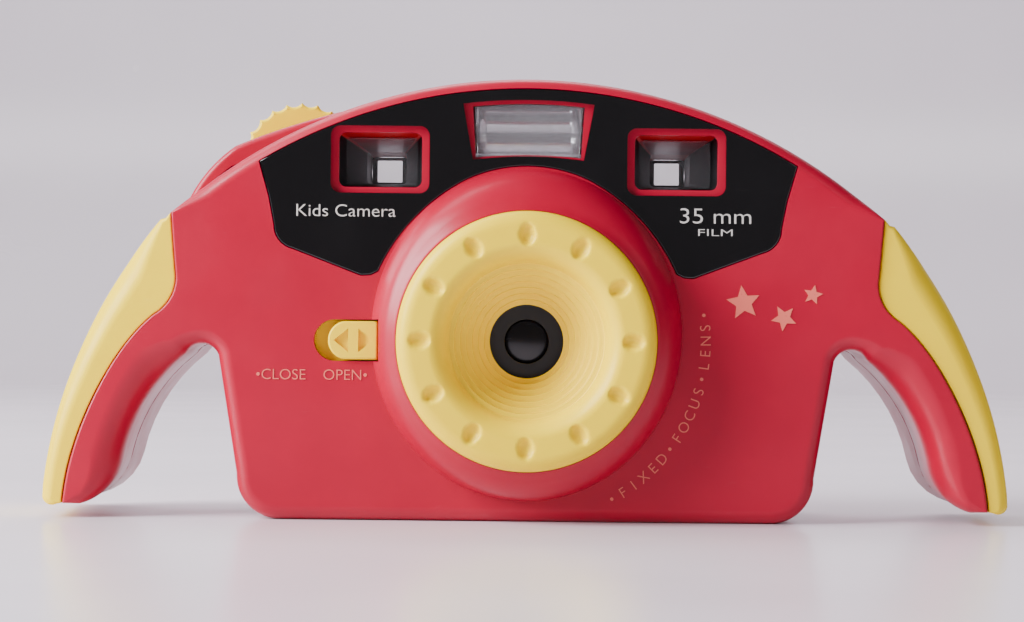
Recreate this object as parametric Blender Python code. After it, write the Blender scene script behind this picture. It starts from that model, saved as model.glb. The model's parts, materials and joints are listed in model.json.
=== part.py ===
"""A child's 35 mm film camera with side handles, as an assembly of separate pieces.

Sizes are in millimetres, and the shape helpers turn them into Blender's metres. X runs across
the front, Y runs from the front face to the back, and Z runs up from the base. The front face
of the shell is the plane Y = 0 while the pieces are made; one empty then carries the whole
camera so that the middle of its depth stands over the world origin.
"""

import math

import bmesh
import bpy
from mathutils import Matrix, Vector

MM = 0.001
GAP = 0.3  # clearance between pieces that touch

# Driving sizes of the case.
FACE_Y = 0.0
RING_FRONT_Y = -12.0
SPLIT_Y = 19.0  # parting line between the two shells
BACK_Y = 36.0
EYECUP_BACK_Y = 40.0
CENTRE_Y = (RING_FRONT_Y + EYECUP_BACK_Y) / 2
WALL = 2.2
EDGE_ROUND = 1.6
TOP_Z = 83.3
SHOULDER = (66.9, 57.5)
HANDLE_REACH = 93.0

# Places of the working parts.
LENS_Z = 33.9
RING_RADIUS = 23.7
FINDER_X, FINDER_Z = 27.8, 67.8
WHEEL_X, WHEEL_Z, WHEEL_RADIUS = -45.2, 69.1, 11.9
SPOOL_Y = 19.5
SPROCKET_X, SPROCKET_Y = -32.0, 25.5
CARTRIDGE_X, CARTRIDGE_Y = 39.5, 20.0
BATTERY_X, BATTERY_Y, BATTERY_Z, BATTERY_RADIUS = -1.2, 10.6, 9.85, 7.15
BUTTON_X, BUTTON_Y = -22.0, 24.0
COUNTER_X, COUNTER_Y = -26.5, 27.8
COVER_PIVOT_X, COVER_PIVOT_Z = -22.0, 30.0
SHUTTER_PIVOT_X, SHUTTER_PIVOT_Z = -11.0, 41.0
DOOR_PIVOT_X, DOOR_PIVOT_Y = -52.4, 38.0
CRANK_PIVOT_X, CRANK_PIVOT_Z = 34.8, 1.4
SCREW_PLACES = [(side * x, z) for x, z in ((77.0, 24.0), (59.5, 44.0), (12.0, 61.8)) for side in (-1, 1)]

RED = ((0.72, 0.015, 0.035), 0.36, 0.0)
YELLOW = ((0.93, 0.66, 0.02), 0.34, 0.0)
BLACK = ((0.012, 0.012, 0.014), 0.3, 0.0)
GLOSS_BLACK = ((0.008, 0.008, 0.01), 0.08, 0.0)
CLEAR = ((0.85, 0.9, 0.92), 0.05, 0.0)
STEEL = ((0.6, 0.6, 0.62), 0.3, 1.0)
CHROME = ((0.85, 0.85, 0.86), 0.08, 1.0)
GREEN_BOARD = ((0.02, 0.16, 0.06), 0.5, 0.0)
COPPER = ((0.6, 0.26, 0.1), 0.4, 0.8)
GREY = ((0.2, 0.2, 0.21), 0.45, 0.0)
RED_LAMP = ((0.8, 0.05, 0.02), 0.15, 0.0)

TURN_TO_AXIS = {
    "X": Matrix.Rotation(math.radians(90), 4, "Y"),
    "Y": Matrix.Rotation(math.radians(-90), 4, "X"),
    "Z": Matrix.Identity(4),
}


# ---------------------------------------------------------------- flat outlines

def arc(first, middle, last, steps):
    """Points of the circle through three points, from the first to the last."""
    (ax, ay), (bx, by), (cx, cy) = first, middle, last
    d = 2 * (ax * (by - cy) + bx * (cy - ay) + cx * (ay - by))
    a2, b2, c2 = ax * ax + ay * ay, bx * bx + by * by, cx * cx + cy * cy
    ux = (a2 * (by - cy) + b2 * (cy - ay) + c2 * (ay - by)) / d
    uy = (a2 * (cx - bx) + b2 * (ax - cx) + c2 * (bx - ax)) / d
    radius = math.dist((ux, uy), first)
    start, through, end = (math.atan2(y - uy, x - ux) for x, y in (first, middle, last))
    sweep = (end - start) % math.tau
    if (through - start) % math.tau > sweep:
        sweep -= math.tau
    angles = [start + sweep * i / steps for i in range(steps + 1)]
    return [(ux + radius * math.cos(a), uy + radius * math.sin(a)) for a in angles]


def chain(*pieces):
    """Joins runs of points, leaving out a point that repeats the one before it."""
    points = []
    for piece in pieces:
        for point in piece:
            if not points or math.dist(points[-1], point) > 0.05:
                points.append(point)
    if math.dist(points[0], points[-1]) < 0.05:
        points.pop()
    return points


def mirrored(points):
    """The same run of points on the other side, in the opposite order."""
    return [(-x, y) for x, y in reversed(points)]


def inset(points, distance):
    """Moves every side of a closed outline inwards, or outwards for a negative distance."""
    area = sum(a[0] * b[1] - b[0] * a[1] for a, b in zip(points, points[1:] + points[:1]))
    turn = math.copysign(1.0, area)
    moved = []
    for before, here, after in zip(points[-1:] + points[:-1], points, points[1:] + points[:1]):
        normals = []
        for start, end in ((before, here), (here, after)):
            length = math.dist(start, end)
            normals.append((-(end[1] - start[1]) / length * turn, (end[0] - start[0]) / length * turn))
        (n1x, n1y), (n2x, n2y) = normals
        reach = distance / (1 + n1x * n2x + n1y * n2y)
        moved.append((here[0] + (n1x + n2x) * reach, here[1] + (n1y + n2y) * reach))
    return moved


def rounded_box(x0, z0, x1, z1, radius, steps=3):
    """A rectangle with round corners."""
    points = []
    for cx, cz, start in ((x1, z1, 0), (x0, z1, 90), (x0, z0, 180), (x1, z0, 270)):
        mx, mz = cx - math.copysign(radius, cx - (x0 + x1) / 2), cz - math.copysign(radius, cz - (z0 + z1) / 2)
        for i in range(steps + 1):
            angle = math.radians(start + 90 * i / steps)
            points.append((mx + radius * math.cos(angle), mz + radius * math.sin(angle)))
    return points


def ellipse(cx, cz, half_x, half_z, steps):
    angles = [math.tau * i / steps for i in range(steps)]
    return [(cx + half_x * math.cos(a), cz + half_z * math.sin(a)) for a in angles]


def crown_arc(half_width, top_z, steps):
    """The camera's top line between two sides, for an arch that is concentric with the case."""
    case_radius = (SHOULDER[0] ** 2 + (TOP_Z - SHOULDER[1]) ** 2) / (2 * (TOP_Z - SHOULDER[1]))
    radius = case_radius - (TOP_Z - top_z)
    drop = radius - math.sqrt(radius**2 - half_width**2)
    return arc((-half_width, top_z - drop), (0, top_z), (half_width, top_z - drop), steps)


SEAM_FOOT = (89.4, 2.7)


def grip_seam():
    """The right seam between red shell and yellow grip, from the shoulder to the handle's tip."""
    return chain(
        arc(SHOULDER, (66.3, 50.0), (65.9, 45.5), 4),
        arc((65.9, 45.5), (66.9, 41.4), (70.2, 38.2), 5),
        arc((70.2, 38.2), (81.4, 26.0), SEAM_FOOT, 10),
    )


def case_outline(left_shoulder=None):
    """The red case in front view, without the grips; the left shoulder can carry a mound."""
    base_corner = 8.0
    side = chain(
        grip_seam(),
        arc((85.8, 2.5), (80.2, 5.2), (76.8, 11.0), 5),
        arc((76.8, 11.0), (72.2, 22.3), (64.3, 31.0), 7),
        arc((64.3, 31.0), (60.8, 32.9), (58.0, 30.8), 5),
        arc((54.4, base_corner + 0.6), (51.9, 2.3), (46.2, 0.0), 6),
    )
    top = crown_arc(SHOULDER[0], TOP_Z, 40)
    left_top = [point for point in top if point[0] < 0]
    if left_shoulder:
        left_top = left_shoulder + [point for point in left_top if point[0] > left_shoulder[-1][0] + 1]
    right_top = [point for point in top if point[0] >= 0]
    return chain(right_top, side, mirrored(side), left_top)


def mound_line():
    """The raised left shoulder over the advance wheel."""
    crest = (-56.6, 72.1)
    return chain(
        arc((-66.6, 57.9), (-62.4, 66.0), crest, 6),
        arc(crest, (-43.6, 77.3), (-25.5, 80.0), 8),
    )


# ---------------------------------------------------------------- shapes

def new_piece(name, shape, finish=None, smooth=True):
    """Turns a bmesh in millimetres into an object. A shape with no finish is a cutter."""
    bmesh.ops.remove_doubles(shape, verts=shape.verts, dist=1e-4)
    bmesh.ops.recalc_face_normals(shape, faces=shape.faces)
    bmesh.ops.scale(shape, vec=(MM, MM, MM), verts=shape.verts)
    mesh = bpy.data.meshes.new(name)
    shape.to_mesh(mesh)
    shape.free()
    piece = bpy.data.objects.new(name, mesh)
    bpy.context.scene.collection.objects.link(piece)
    if finish is None:
        piece.hide_render = True
        piece.display_type = "WIRE"
        return piece
    if smooth:
        mesh.shade_smooth()
        mesh.set_sharp_from_angle(angle=math.radians(35))
    colour, roughness, metallic = finish
    material = bpy.data.materials.new(name + "_finish")
    material.use_nodes = True
    shader = material.node_tree.nodes["Principled BSDF"]
    shader.inputs["Base Color"].default_value = (*colour, 1)
    shader.inputs["Roughness"].default_value = roughness
    shader.inputs["Metallic"].default_value = metallic
    material.diffuse_color = (*colour, 1)
    mesh.materials.append(material)
    return piece


def loft(name, rings, finish=None):
    """A closed body through rings of the same number of 3-D points."""
    shape = bmesh.new()
    face = shape.faces.new([shape.verts.new(point) for point in rings[0]])
    for index, ring in enumerate(rings[1:]):
        grown = bmesh.ops.extrude_face_region(shape, geom=[face])["geom"]
        if index and face.is_valid:
            bmesh.ops.delete(shape, geom=[face], context="FACES_ONLY")
        face = next(item for item in grown if isinstance(item, bmesh.types.BMFace))
        for vert, point in zip(face.verts, ring):
            vert.co = point
    return new_piece(name, shape, finish)


def prism(name, outline, start, end, finish=None, front_round=0.0, back_round=0.0, axis="Y", steps=2):
    """Extrudes a closed outline along an axis, with an optional round along either edge.

    The outline is read as (x, z) for axis Y, as (x, y) for axis Z and as (y, z) for axis X.
    """
    lift = {
        "X": lambda u, v, h: (h, u, v),
        "Y": lambda u, v, h: (u, h, v),
        "Z": lambda u, v, h: (u, v, h),
    }[axis]
    levels = []
    for size, level, way in ((front_round, start, 1), (back_round, end, -1)):
        angles = [math.radians(90 * i / steps) for i in range(steps + 1)] if size else [math.radians(90)]
        edge = [(size * (1 - math.sin(a)), level + way * size * (1 - math.cos(a)) * bool(size)) for a in angles]
        levels.append(edge)
    run = levels[0] + levels[1][::-1]
    rings = []
    for amount, height in run:
        points = inset(outline, amount) if amount > 1e-6 else outline
        rings.append([lift(u, v, height) for u, v in points])
    return loft(name, rings, finish)


def turned(name, profile, place, axis="Y", finish=None, segments=40):
    """Spins (radius, along) points about an axis. A profile off the axis is closed on itself."""
    shape = bmesh.new()
    verts = [shape.verts.new((radius, 0, along)) for radius, along in profile]
    edges = [shape.edges.new(pair) for pair in zip(verts, verts[1:])]
    if profile[0][0] > 0 or profile[-1][0] > 0:
        edges.append(shape.edges.new((verts[-1], verts[0])))
    bmesh.ops.spin(
        shape, geom=verts + edges, axis=(0, 0, 1), cent=(0, 0, 0), angle=math.tau, steps=segments, use_merge=True
    )
    bmesh.ops.transform(shape, matrix=Matrix.Translation(place) @ TURN_TO_AXIS[axis], verts=shape.verts)
    return new_piece(name, shape, finish)


def rod(name, place, axis, radius, start, end, finish=None, segments=20):
    """A plain round bar along an axis; start and end are measured along it from place."""
    profile = [(0, start), (radius, start), (radius, end), (0, end)]
    return turned(name, profile, place, axis, finish, segments)


def block(name, low, high, finish=None, edge=0.0):
    """A box between two corners, with its edges bevelled."""
    shape = bmesh.new()
    bmesh.ops.create_cube(shape, size=1.0)
    size, middle = Vector(high) - Vector(low), (Vector(high) + Vector(low)) / 2
    bmesh.ops.scale(shape, vec=size, verts=shape.verts)
    bmesh.ops.translate(shape, vec=middle, verts=shape.verts)
    if edge:
        bmesh.ops.bevel(
            shape, geom=shape.edges[:], offset=edge, segments=1, affect="EDGES", profile=0.5, material=-1
        )
    return new_piece(name, shape, finish, smooth=False)


def coil(name, place, axis, radius, wire, start, end, turns, finish, end_radius=None):
    """A spring: a round wire wound about an axis, as a curve with a bevel and filled caps."""
    last_radius = end_radius or radius
    points_per_turn = 8
    count = round(turns * points_per_turn)
    curve = bpy.data.curves.new(name, "CURVE")
    curve.dimensions = "3D"
    curve.bevel_depth = wire * MM / 2
    curve.bevel_resolution = 0
    curve.use_fill_caps = True
    spline = curve.splines.new("POLY")
    spline.points.add(count)
    for i, point in enumerate(spline.points):
        share = i / count
        angle = math.tau * i / points_per_turn
        reach = radius + (last_radius - radius) * share
        local = Vector((reach * math.cos(angle), reach * math.sin(angle), start + (end - start) * share))
        place_here = Vector(place) + TURN_TO_AXIS[axis] @ local
        point.co = (*(place_here * MM), 1)
    material = bpy.data.materials.new(name + "_finish")
    material.diffuse_color = (*finish[0], 1)
    curve.materials.append(material)
    piece = bpy.data.objects.new(name, curve)
    bpy.context.scene.collection.objects.link(piece)
    return piece


def combine(piece, operation, *others):
    for other in others:
        step = piece.modifiers.new(operation.lower() + "_" + other.name, "BOOLEAN")
        step.operation = operation
        step.object = other


def cut(piece, *cutters):
    combine(piece, "DIFFERENCE", *cutters)


def join(piece, *others):
    combine(piece, "UNION", *others)


def pivot(piece, place):
    """Puts a moving piece's origin on its joint axis."""
    origin = Vector(place) * MM
    piece.data.transform(Matrix.Translation(-origin))
    piece.location = origin


# ---------------------------------------------------------------- case

def flash_opening(grow=0.0):
    """The flash opening narrows downwards, with an arched top and bottom."""
    top = crown_arc(12.3, 79.2, 6)
    outline = chain(top, arc((10.4, 67.9), (0, 68.6), (-10.4, 67.9), 6))
    return inset(outline, -grow) if grow else outline


def panel_outline():
    """The black panel: a wide arch over the lens, cut away round the lens dome."""
    top = crown_arc(50.6, TOP_Z - 1.9, 30)
    side = chain(
        [(48.7, 60.6)],
        arc((47.7, 55.4), (46.6, 52.3), (44.1, 50.8), 3),
        [(31.2, 45.9)],
        [(29.4, 46.0)],
        arc((27.9, 46.7), (20.9, 57.1), (11.5, 64.1), 6),
    )
    return chain(top, side, [(0, 66.7)], mirrored(side))


def lens_dome():
    """The raised surround of the lens, rounding over from an oval foot to a round rim."""
    rim_radius, rim_y, steps = 24.9, -8.0, 5
    rings = []
    for i in range(steps + 1):
        angle = math.radians(90 * i / steps)
        foot = math.cos(angle)
        half_x = rim_radius + (29.2 - rim_radius) * foot
        half_z = rim_radius + (31.2 - rim_radius) * foot
        middle = LENS_Z + (35.2 - LENS_Z) * foot
        level = rim_y * math.sin(angle)
        rings.append([(x, level, z) for x, z in ellipse(0, middle, half_x, half_z, 40)])
    sunk = [(x, 1.0, z) for x, _, z in rings[0]]
    return loft("dome_shape", [sunk] + rings)


def case_boss(x, z, radius, start, end):
    return rod(f"boss_{x:.0f}_{z:.0f}_{start:.0f}", (x, 0, z), "Y", radius, start, end, segments=12)


def finder_hole(name, side, y0, y1, half_x=7.8, half_z=5.15, radius=1.4):
    x = side * FINDER_X
    outline = rounded_box(x - half_x, FINDER_Z - half_z, x + half_x, FINDER_Z + half_z, radius, 2)
    return prism(name, outline, y0, y1)


def battery_opening(name):
    return block(name, (BATTERY_X - 33.1, 3.1, -1), (BATTERY_X + 29.9, 18.0, 4))


def rewind_opening(name):
    return rod(name, (CARTRIDGE_X, CARTRIDGE_Y, 0), "Z", 8.1, -1, 3.5, segments=28)


def front_shell():
    outline = case_outline()
    shell = prism("front_shell", outline, FACE_Y, SPLIT_Y, RED, front_round=EDGE_ROUND, steps=3)
    mound = chain(mound_line(), [(-40.0, 66.0), (-60.0, 54.0)])
    join(shell, prism("front_mound_shape", mound, 12.5, SPLIT_Y - 0.05), lens_dome())
    cut(
        shell,
        prism("front_cavity", inset(outline, WALL), FACE_Y + 2.4, SPLIT_Y + 1),
        rod("ring_seat", (0, 0, LENS_Z), "Y", 24.1, -9.0, 0.0, segments=40),
        rod("cone_hole", (0, 0, LENS_Z), "Y", 16.2, -1, 3, segments=40),
        prism("panel_pocket", panel_outline(), -1, 1.4),
        prism("flash_hole", flash_opening(), -1, 3),
        finder_hole("finder_hole_left", -1, -1, 3),
        finder_hole("finder_hole_right", 1, -1, 3),
    )
    pivot_post = rod("cover_post", (COVER_PIVOT_X, 0, COVER_PIVOT_Z), "Y", 1.2, 2.0, 5.0, segments=12)
    join(shell, pivot_post, *[case_boss(x, z, 2.8, 2.0, 18.0) for x, z in SCREW_PLACES])
    slot_outline = chain(arc((-35.9, 37.7), (-39.9, 33.8), (-35.9, 29.9), 8), [(-27.5, 29.9), (-27.5, 37.7)])
    pilots = [rod(f"pilot_{x:.0f}", (x, 0, z), "Y", 1.4, 8.0, 19.0, segments=10) for x, z in SCREW_PLACES]
    cut(
        shell,
        prism("slider_slot", slot_outline, -1, 3),
        battery_opening("battery_hole"),
        rewind_opening("rewind_hole_front"),
        *pilots,
    )
    return shell


def rear_shell():
    outline = case_outline(left_shoulder=mound_line())
    front, wheel_room = SPLIT_Y + GAP, WHEEL_RADIUS + 0.7
    shell = prism("rear_shell", outline, front, BACK_Y, RED, back_round=EDGE_ROUND, steps=3)
    wheel_place = (WHEEL_X, 0, WHEEL_Z)
    cut(
        shell,
        prism("rear_cavity", inset(outline, WALL), front - 1, BACK_Y - 2.0),
        prism("film_opening", rounded_box(-49.0, 8.5, 50.9, 57.0, 2.0, 2), BACK_Y - 3, BACK_Y + 1),
    )
    hanger = block("wheel_hanger", (WHEEL_X - 2.6, 20.6, 66.3), (WHEEL_X + 2.6, 23.2, 76.0))
    lugs = []
    for low, high in ((7.5, 12.0), (53.9, 58.4)):
        lugs.append(rod(f"lug_{low}", (DOOR_PIVOT_X, DOOR_PIVOT_Y, 0), "Z", 1.8, low, high, segments=14))
        lugs.append(block(f"lug_foot_{low}", (-54.1, 35.0, low), (-50.7, 38.0, high)))
    join(shell, hanger, *lugs, *[case_boss(x, z, 3.4, 19.6, 35.0) for x, z in SCREW_PLACES])
    cut(
        shell,
        rod("wheel_slot", wheel_place, "Y", wheel_room, 27.4, 34.0, segments=32),
        rod("wheel_bearing", wheel_place, "Y", 1.9, 20.0, 34.9, segments=12),
        finder_hole("eyepiece_hole_left", -1, 33, 37, 5.2, 4.4, 1.0),
        finder_hole("eyepiece_hole_right", 1, 33, 37, 5.2, 4.4, 1.0),
        rod("button_hole", (BUTTON_X, BUTTON_Y, 0), "Z", 5.3, 76.9, 90, segments=24),
        rod("lamp_hole", (8.0, 0, 72.0), "Y", 1.9, 33, 37, segments=14),
        rod("pin_hole", (DOOR_PIVOT_X, DOOR_PIVOT_Y, 0), "Z", 1.0, 8.0, 60.0, segments=12),
        rewind_opening("rewind_hole_rear"),
        block("counter_hole", (COUNTER_X - 2.8, 28.2, -1), (COUNTER_X + 2.8, 33.4, 4)),
    )
    for x, z in SCREW_PLACES:
        cut(
            shell,
            rod(f"screw_hole_{x:.0f}", (x, 0, z), "Y", 1.5, 19.0, 34.0, segments=10),
            rod(f"screw_seat_{x:.0f}", (x, 0, z), "Y", 2.9, 33.2, 37.0, segments=16),
        )
    return shell


def grip(name, side):
    """A yellow insert that wraps the outer edge of a handle over its full depth."""
    seam = [point for point in grip_seam() if point != SHOULDER]
    inner = [(x + 0.45, z) for x, z in seam]
    outline = chain(
        [(68.0, 56.4)],
        arc((69.0, 56.2), (82.3, 38.6), (92.9, 6.0), 14),
        arc(((HANDLE_REACH - 0.02), 4.4), (92.2, 2.5), (90.4, 2.5), 3),
        inner[::-1],
    )
    points = outline if side > 0 else mirrored(outline[5:] + outline[:5])
    return prism(name, points, 0.6, BACK_Y - 0.6, YELLOW, front_round=0.9, back_round=0.9)


def screw(index, x, z):
    profile = [(0, 12.0), (1.1, 12.0), (1.1, 33.6), (2.5, 33.6), (2.5, 34.9), (1.9, 35.4), (0, 35.4)]
    return turned(f"case_screw_{index}", profile, (x, 0, z), "Y", STEEL, 12)


def front_panel():
    panel = prism("front_panel", inset(panel_outline(), GAP), 0.15, 1.1, GLOSS_BLACK)
    cut(
        panel,
        prism("panel_flash_hole", flash_opening(), -1, 3),
        finder_hole("panel_finder_left", -1, -1, 3, 9.25, 6.3, 1.8),
        finder_hole("panel_finder_right", 1, -1, 3, 9.25, 6.3, 1.8),
    )


# ---------------------------------------------------------------- finders and flash

def finder(label, side):
    """One see-through finder: its tapering frame, front lens, eyepiece lens and eyecup."""
    x = side * FINDER_X

    def ring(half_x, half_z, y):
        corners = rounded_box(x - half_x, FINDER_Z - half_z, x + half_x, FINDER_Z + half_z, 0.8, 2)
        return [(u, y, v) for u, v in corners]

    frame = loft(
        f"finder_frame_{label}", [ring(8.9, 6.2, 2.8), ring(4.9, 4.3, 22.0), ring(4.6, 3.9, 33.2)], BLACK
    )
    cut(frame, loft(f"finder_bore_{label}", [ring(8.1, 5.4, 2.0), ring(3.9, 3.3, 22.0), ring(3.6, 2.9, 34.0)]))
    lens_y = 6.0
    prism(
        f"finder_lens_{label}",
        rounded_box(x - 6.8, FINDER_Z - 4.6, x + 6.8, FINDER_Z + 4.6, 0.8, 2),
        lens_y, lens_y + 1.6, CLEAR,
    )
    prism(
        f"eyepiece_{label}",
        rounded_box(x - 4.8, FINDER_Z - 4.0, x + 4.8, FINDER_Z + 4.0, 0.8, 2),
        33.8, 35.6, CLEAR,
    )
    cup = [(4.0, 39.0), (4.0, 36.3), (8.6, 36.3), (8.6, 38.6), (7.6, EYECUP_BACK_Y), (5.6, EYECUP_BACK_Y)]
    turned(f"eyecup_{label}", cup, (x, 0, FINDER_Z), "Y", BLACK, 28)


def flash():
    axis_z, half_width = 73.5, 11.9
    outer = chain([(3.0, axis_z + 5.6)], arc((3.6, axis_z + 5.2), (9.8, axis_z), (3.6, axis_z - 5.2), 8),
                  [(3.0, axis_z - 5.6)])
    trough = chain(
        [(2.9, axis_z + 5.1), (2.9, axis_z + 5.9)],
        arc((3.6, axis_z + 5.9), (10.8, axis_z), (3.6, axis_z - 5.9), 10),
        [(2.9, axis_z - 5.9), (2.9, axis_z - 5.1)],
        outer[1:-1][::-1],
    )
    prism("flash_reflector", trough, -half_width, half_width, CHROME, axis="X")
    rod("flash_tube", (0, 6.8, axis_z), "X", 1.3, -11.6, 11.6, CLEAR, 14)
    lens = chain(crown_arc(10.2, 78.5, 4), [(9.6, 68.6), (-9.6, 68.6)])
    prism("flash_lens", lens, 1.3, 2.5, CLEAR)
    block("flash_board", (-14.0, 15.0, 65.5), (14.0, 16.4, 78.6), GREEN_BOARD)
    rod("flash_capacitor", (0, 22.4, 71.4), "X", 4.2, -11.0, 13.0, GREY, 20)
    block("flash_transformer", (-11.0, 27.4, 66.6), (-1.0, 33.2, 73.6), COPPER, 0.6)
    lamp = [(0, 28.0), (1.5, 28.0), (1.5, 35.6), (1.1, 36.3), (0, 36.5)]
    turned("ready_lamp", lamp, (8.0, 0, 72.0), "Y", RED_LAMP, 14)


# ---------------------------------------------------------------- lens and shutter

def lens_ring():
    """The big yellow ring, rolling in to a stepped cone."""
    cone_start, cone_end, steps = (14.4, -8.8), (7.4, 2.4), 5
    profile = [(RING_RADIUS, -GAP), (RING_RADIUS, -9.6), (22.9, -11.3), (20.6, RING_FRONT_Y), (17.2, -11.6),
               (15.2, -10.3)]
    for i in range(steps):
        near, far = i / steps, (i + 1) / steps
        radius = cone_start[0] + (cone_end[0] - cone_start[0]) * near
        next_radius = cone_start[0] + (cone_end[0] - cone_start[0]) * far
        level = cone_start[1] + (cone_end[1] - cone_start[1]) * far
        profile += [(radius, level), (next_radius, level)]
    profile += [(cone_end[0], 3.2), (9.2, 3.2), (15.7, -7.0), (18.0, -9.6), (21.6, -9.6), (21.6, -GAP)]
    turned("lens_ring", profile, (0, 0, LENS_Z), "Y", YELLOW, 36)


def lens_group():
    place = (0, 0, LENS_Z)
    barrel = [(4.2, 4.6), (10.5, 4.6), (10.5, 6.0), (8.0, 6.0), (8.0, 9.6), (4.9, 9.6), (4.9, 6.0), (4.2, 5.6)]
    turned("lens_barrel", barrel, place, "Y", BLACK, 32)
    element = [(0, 6.0), (2.4, 6.15), (4.6, 6.6), (4.6, 7.6), (2.6, 8.1), (0, 8.3)]
    turned("lens_element", element, place, "Y", CLEAR, 28)
    turned("aperture_stop", [(1.6, 8.8), (4.6, 8.8), (4.6, 9.4), (1.6, 9.4)], place, "Y", BLACK, 24)
    plate = prism("shutter_plate", rounded_box(-16.0, 20.0, 16.0, 49.0, 2.0, 2), 10.1, 11.3, BLACK)
    cut(plate, rod("shutter_hole", place, "Y", 2.6, 9, 13, segments=20))
    shutter_post = (SHUTTER_PIVOT_X, 0, SHUTTER_PIVOT_Z)
    join(plate, rod("shutter_post", shutter_post, "Y", 1.0, 10.8, 13.4, segments=12))


def bar_outline(start, end, half_width):
    """A straight strip between two points of the front view."""
    length = math.dist(start, end)
    across = ((start[1] - end[1]) / length * half_width, (end[0] - start[0]) / length * half_width)
    return [
        (start[0] + across[0], start[1] + across[1]),
        (start[0] - across[0], start[1] - across[1]),
        (end[0] - across[0], end[1] - across[1]),
        (end[0] + across[0], end[1] + across[1]),
    ]


def radial_bars(cx, cy, inner, outer, half_width, count, offset=0.0):
    """Outlines of equal bars that point away from a centre, such as the teeth of a gear."""
    bars = []
    for i in range(count):
        angle = math.tau * (i + offset) / count
        ends = [(cx + r * math.sin(angle), cy + r * math.cos(angle)) for r in (inner, outer)]
        bars.append(bar_outline(*ends, half_width))
    return bars


def blade(name, hub, disc, disc_radius, hub_radius, hole_radius, y0, y1, tail, tail_half):
    """A flat swinging blade: a disc on an arm from a hub, and a tail.

    Each shape is a little thinner than the last, so that none of their faces lie in one plane.
    """
    step = 0.03
    piece = rod(name, (hub[0], 0, hub[1]), "Y", hub_radius, y0, y1, BLACK, 20)
    join(
        piece,
        rod(name + "_disc", (disc[0], 0, disc[1]), "Y", disc_radius, y0 + step, y1 - step, segments=28),
        prism(name + "_arm", bar_outline(hub, disc, 2.0), y0 + 2 * step, y1 - 2 * step),
        prism(name + "_tail", bar_outline(hub, tail, tail_half), y0 + 3 * step, y1 - 3 * step),
    )
    cut(piece, rod(name + "_hole", (hub[0], 0, hub[1]), "Y", hole_radius, y0 - 1, y1 + 1, segments=14))
    return piece


COVER_SWING = 43.0  # degrees that the cover blade turns while the slider travels COVER_TRAVEL
COVER_TRAVEL = 2.6


def lens_cover():
    """The slider in the front face and the blade that it swings across the lens."""
    hub = (COVER_PIVOT_X, COVER_PIVOT_Z)
    arm = math.dist(hub, (0, LENS_Z))
    open_angle = math.atan2(LENS_Z - hub[1], -hub[0]) + math.radians(COVER_SWING)
    disc = (hub[0] + arm * math.cos(open_angle), hub[1] + arm * math.sin(open_angle))
    peg = (hub[0] + COVER_TRAVEL / 2, hub[1] - 3.3)
    reach = 6.2 / math.dist(hub, peg)
    tail = (hub[0] + (peg[0] - hub[0]) * reach, hub[1] + (peg[1] - hub[1]) * reach)
    cover = blade("cover_blade", hub, disc, 8.3, 3.2, 1.6, 3.7, 4.3, tail, 2.3)
    slot_start = (hub[0] + (peg[0] - hub[0]) * 0.6, hub[1] + (peg[1] - hub[1]) * 0.6)
    slot_end = (hub[0] + (peg[0] - hub[0]) * 2.2, hub[1] + (peg[1] - hub[1]) * 2.2)
    cut(cover, prism("cover_fork", bar_outline(slot_start, slot_end, 1.25), 3, 5))
    pivot(cover, (hub[0], 4.0, hub[1]))

    button = chain(arc((-34.2, 37.4), (-37.2, 33.8), (-34.2, 30.2), 8), [(-27.9, 30.2), (-27.9, 37.4)])
    slider = prism("cover_slider", button, -0.9, 3.0, YELLOW, front_round=0.5)
    carrier = prism("slider_carrier", rounded_box(-38.0, 28.0, -26.2, 39.4, 0.8, 1), 2.75, 3.35)
    link = prism("slider_link", bar_outline((-30.0, 28.9), (peg[0] - 0.4, peg[1] - 0.6), 1.1), 2.75, 3.35)
    join(slider, carrier, link, rod("slider_peg", (peg[0], 0, peg[1]), "Y", 0.8, 3.0, 4.6, segments=12))
    tips = []
    for tip, back in ((-36.1, -33.5), (-28.8, -31.4)):
        tips.append(prism(f"arrow_{tip}", [(tip, 33.8), (back, 36.0), (back, 31.6)], -2, -0.5))
    cut(slider, *tips)


def shutter_release():
    """Shutter button, its spring, the bar that carries the press down, and the blade it kicks."""
    place = (BUTTON_X, BUTTON_Y, 0)
    profile = [(0, 75.3), (1.4, 75.3), (1.4, 75.7), (6.0, 75.7), (6.0, 76.7), (5.0, 76.7), (5.0, 81.5),
               (4.2, 82.2), (0, 82.2)]
    button = turned("shutter_button", profile, place, "Z", YELLOW, 28)
    pivot(button, (BUTTON_X, BUTTON_Y, 76.0))
    coil("button_spring", place, "Z", 3.2, 0.5, 73.2, 75.3, 2.5, STEEL)
    bar = block("release_bar", (-17.9, 11.9, 47.1), (-16.6, 12.9, 75.4), STEEL)
    join(
        bar,
        block("release_foot", (-17.9, 11.9, 46.0), (-12.6, 12.9, 47.4)),
        block("release_head", (-17.9, 11.9, 74.6), (-16.6, 21.0, 75.4)),
        block("release_tab", (-19.2, 18.6, 74.5), (-16.8, 20.8, 75.3)),
    )
    shutter = blade(
        "shutter_blade", (SHUTTER_PIVOT_X, SHUTTER_PIVOT_Z), (0, LENS_Z), 4.0, 2.2, 1.3, 11.8, 12.4,
        (SHUTTER_PIVOT_X - 4.0, SHUTTER_PIVOT_Z + 3.0), 1.3,
    )
    pivot(shutter, (SHUTTER_PIVOT_X, 12.1, SHUTTER_PIVOT_Z))
    coil("shutter_spring", (-14.6, 12.8, 0), "Z", 0.8, 0.35, 24.0, 36.0, 6, STEEL)


# ---------------------------------------------------------------- film transport

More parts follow.
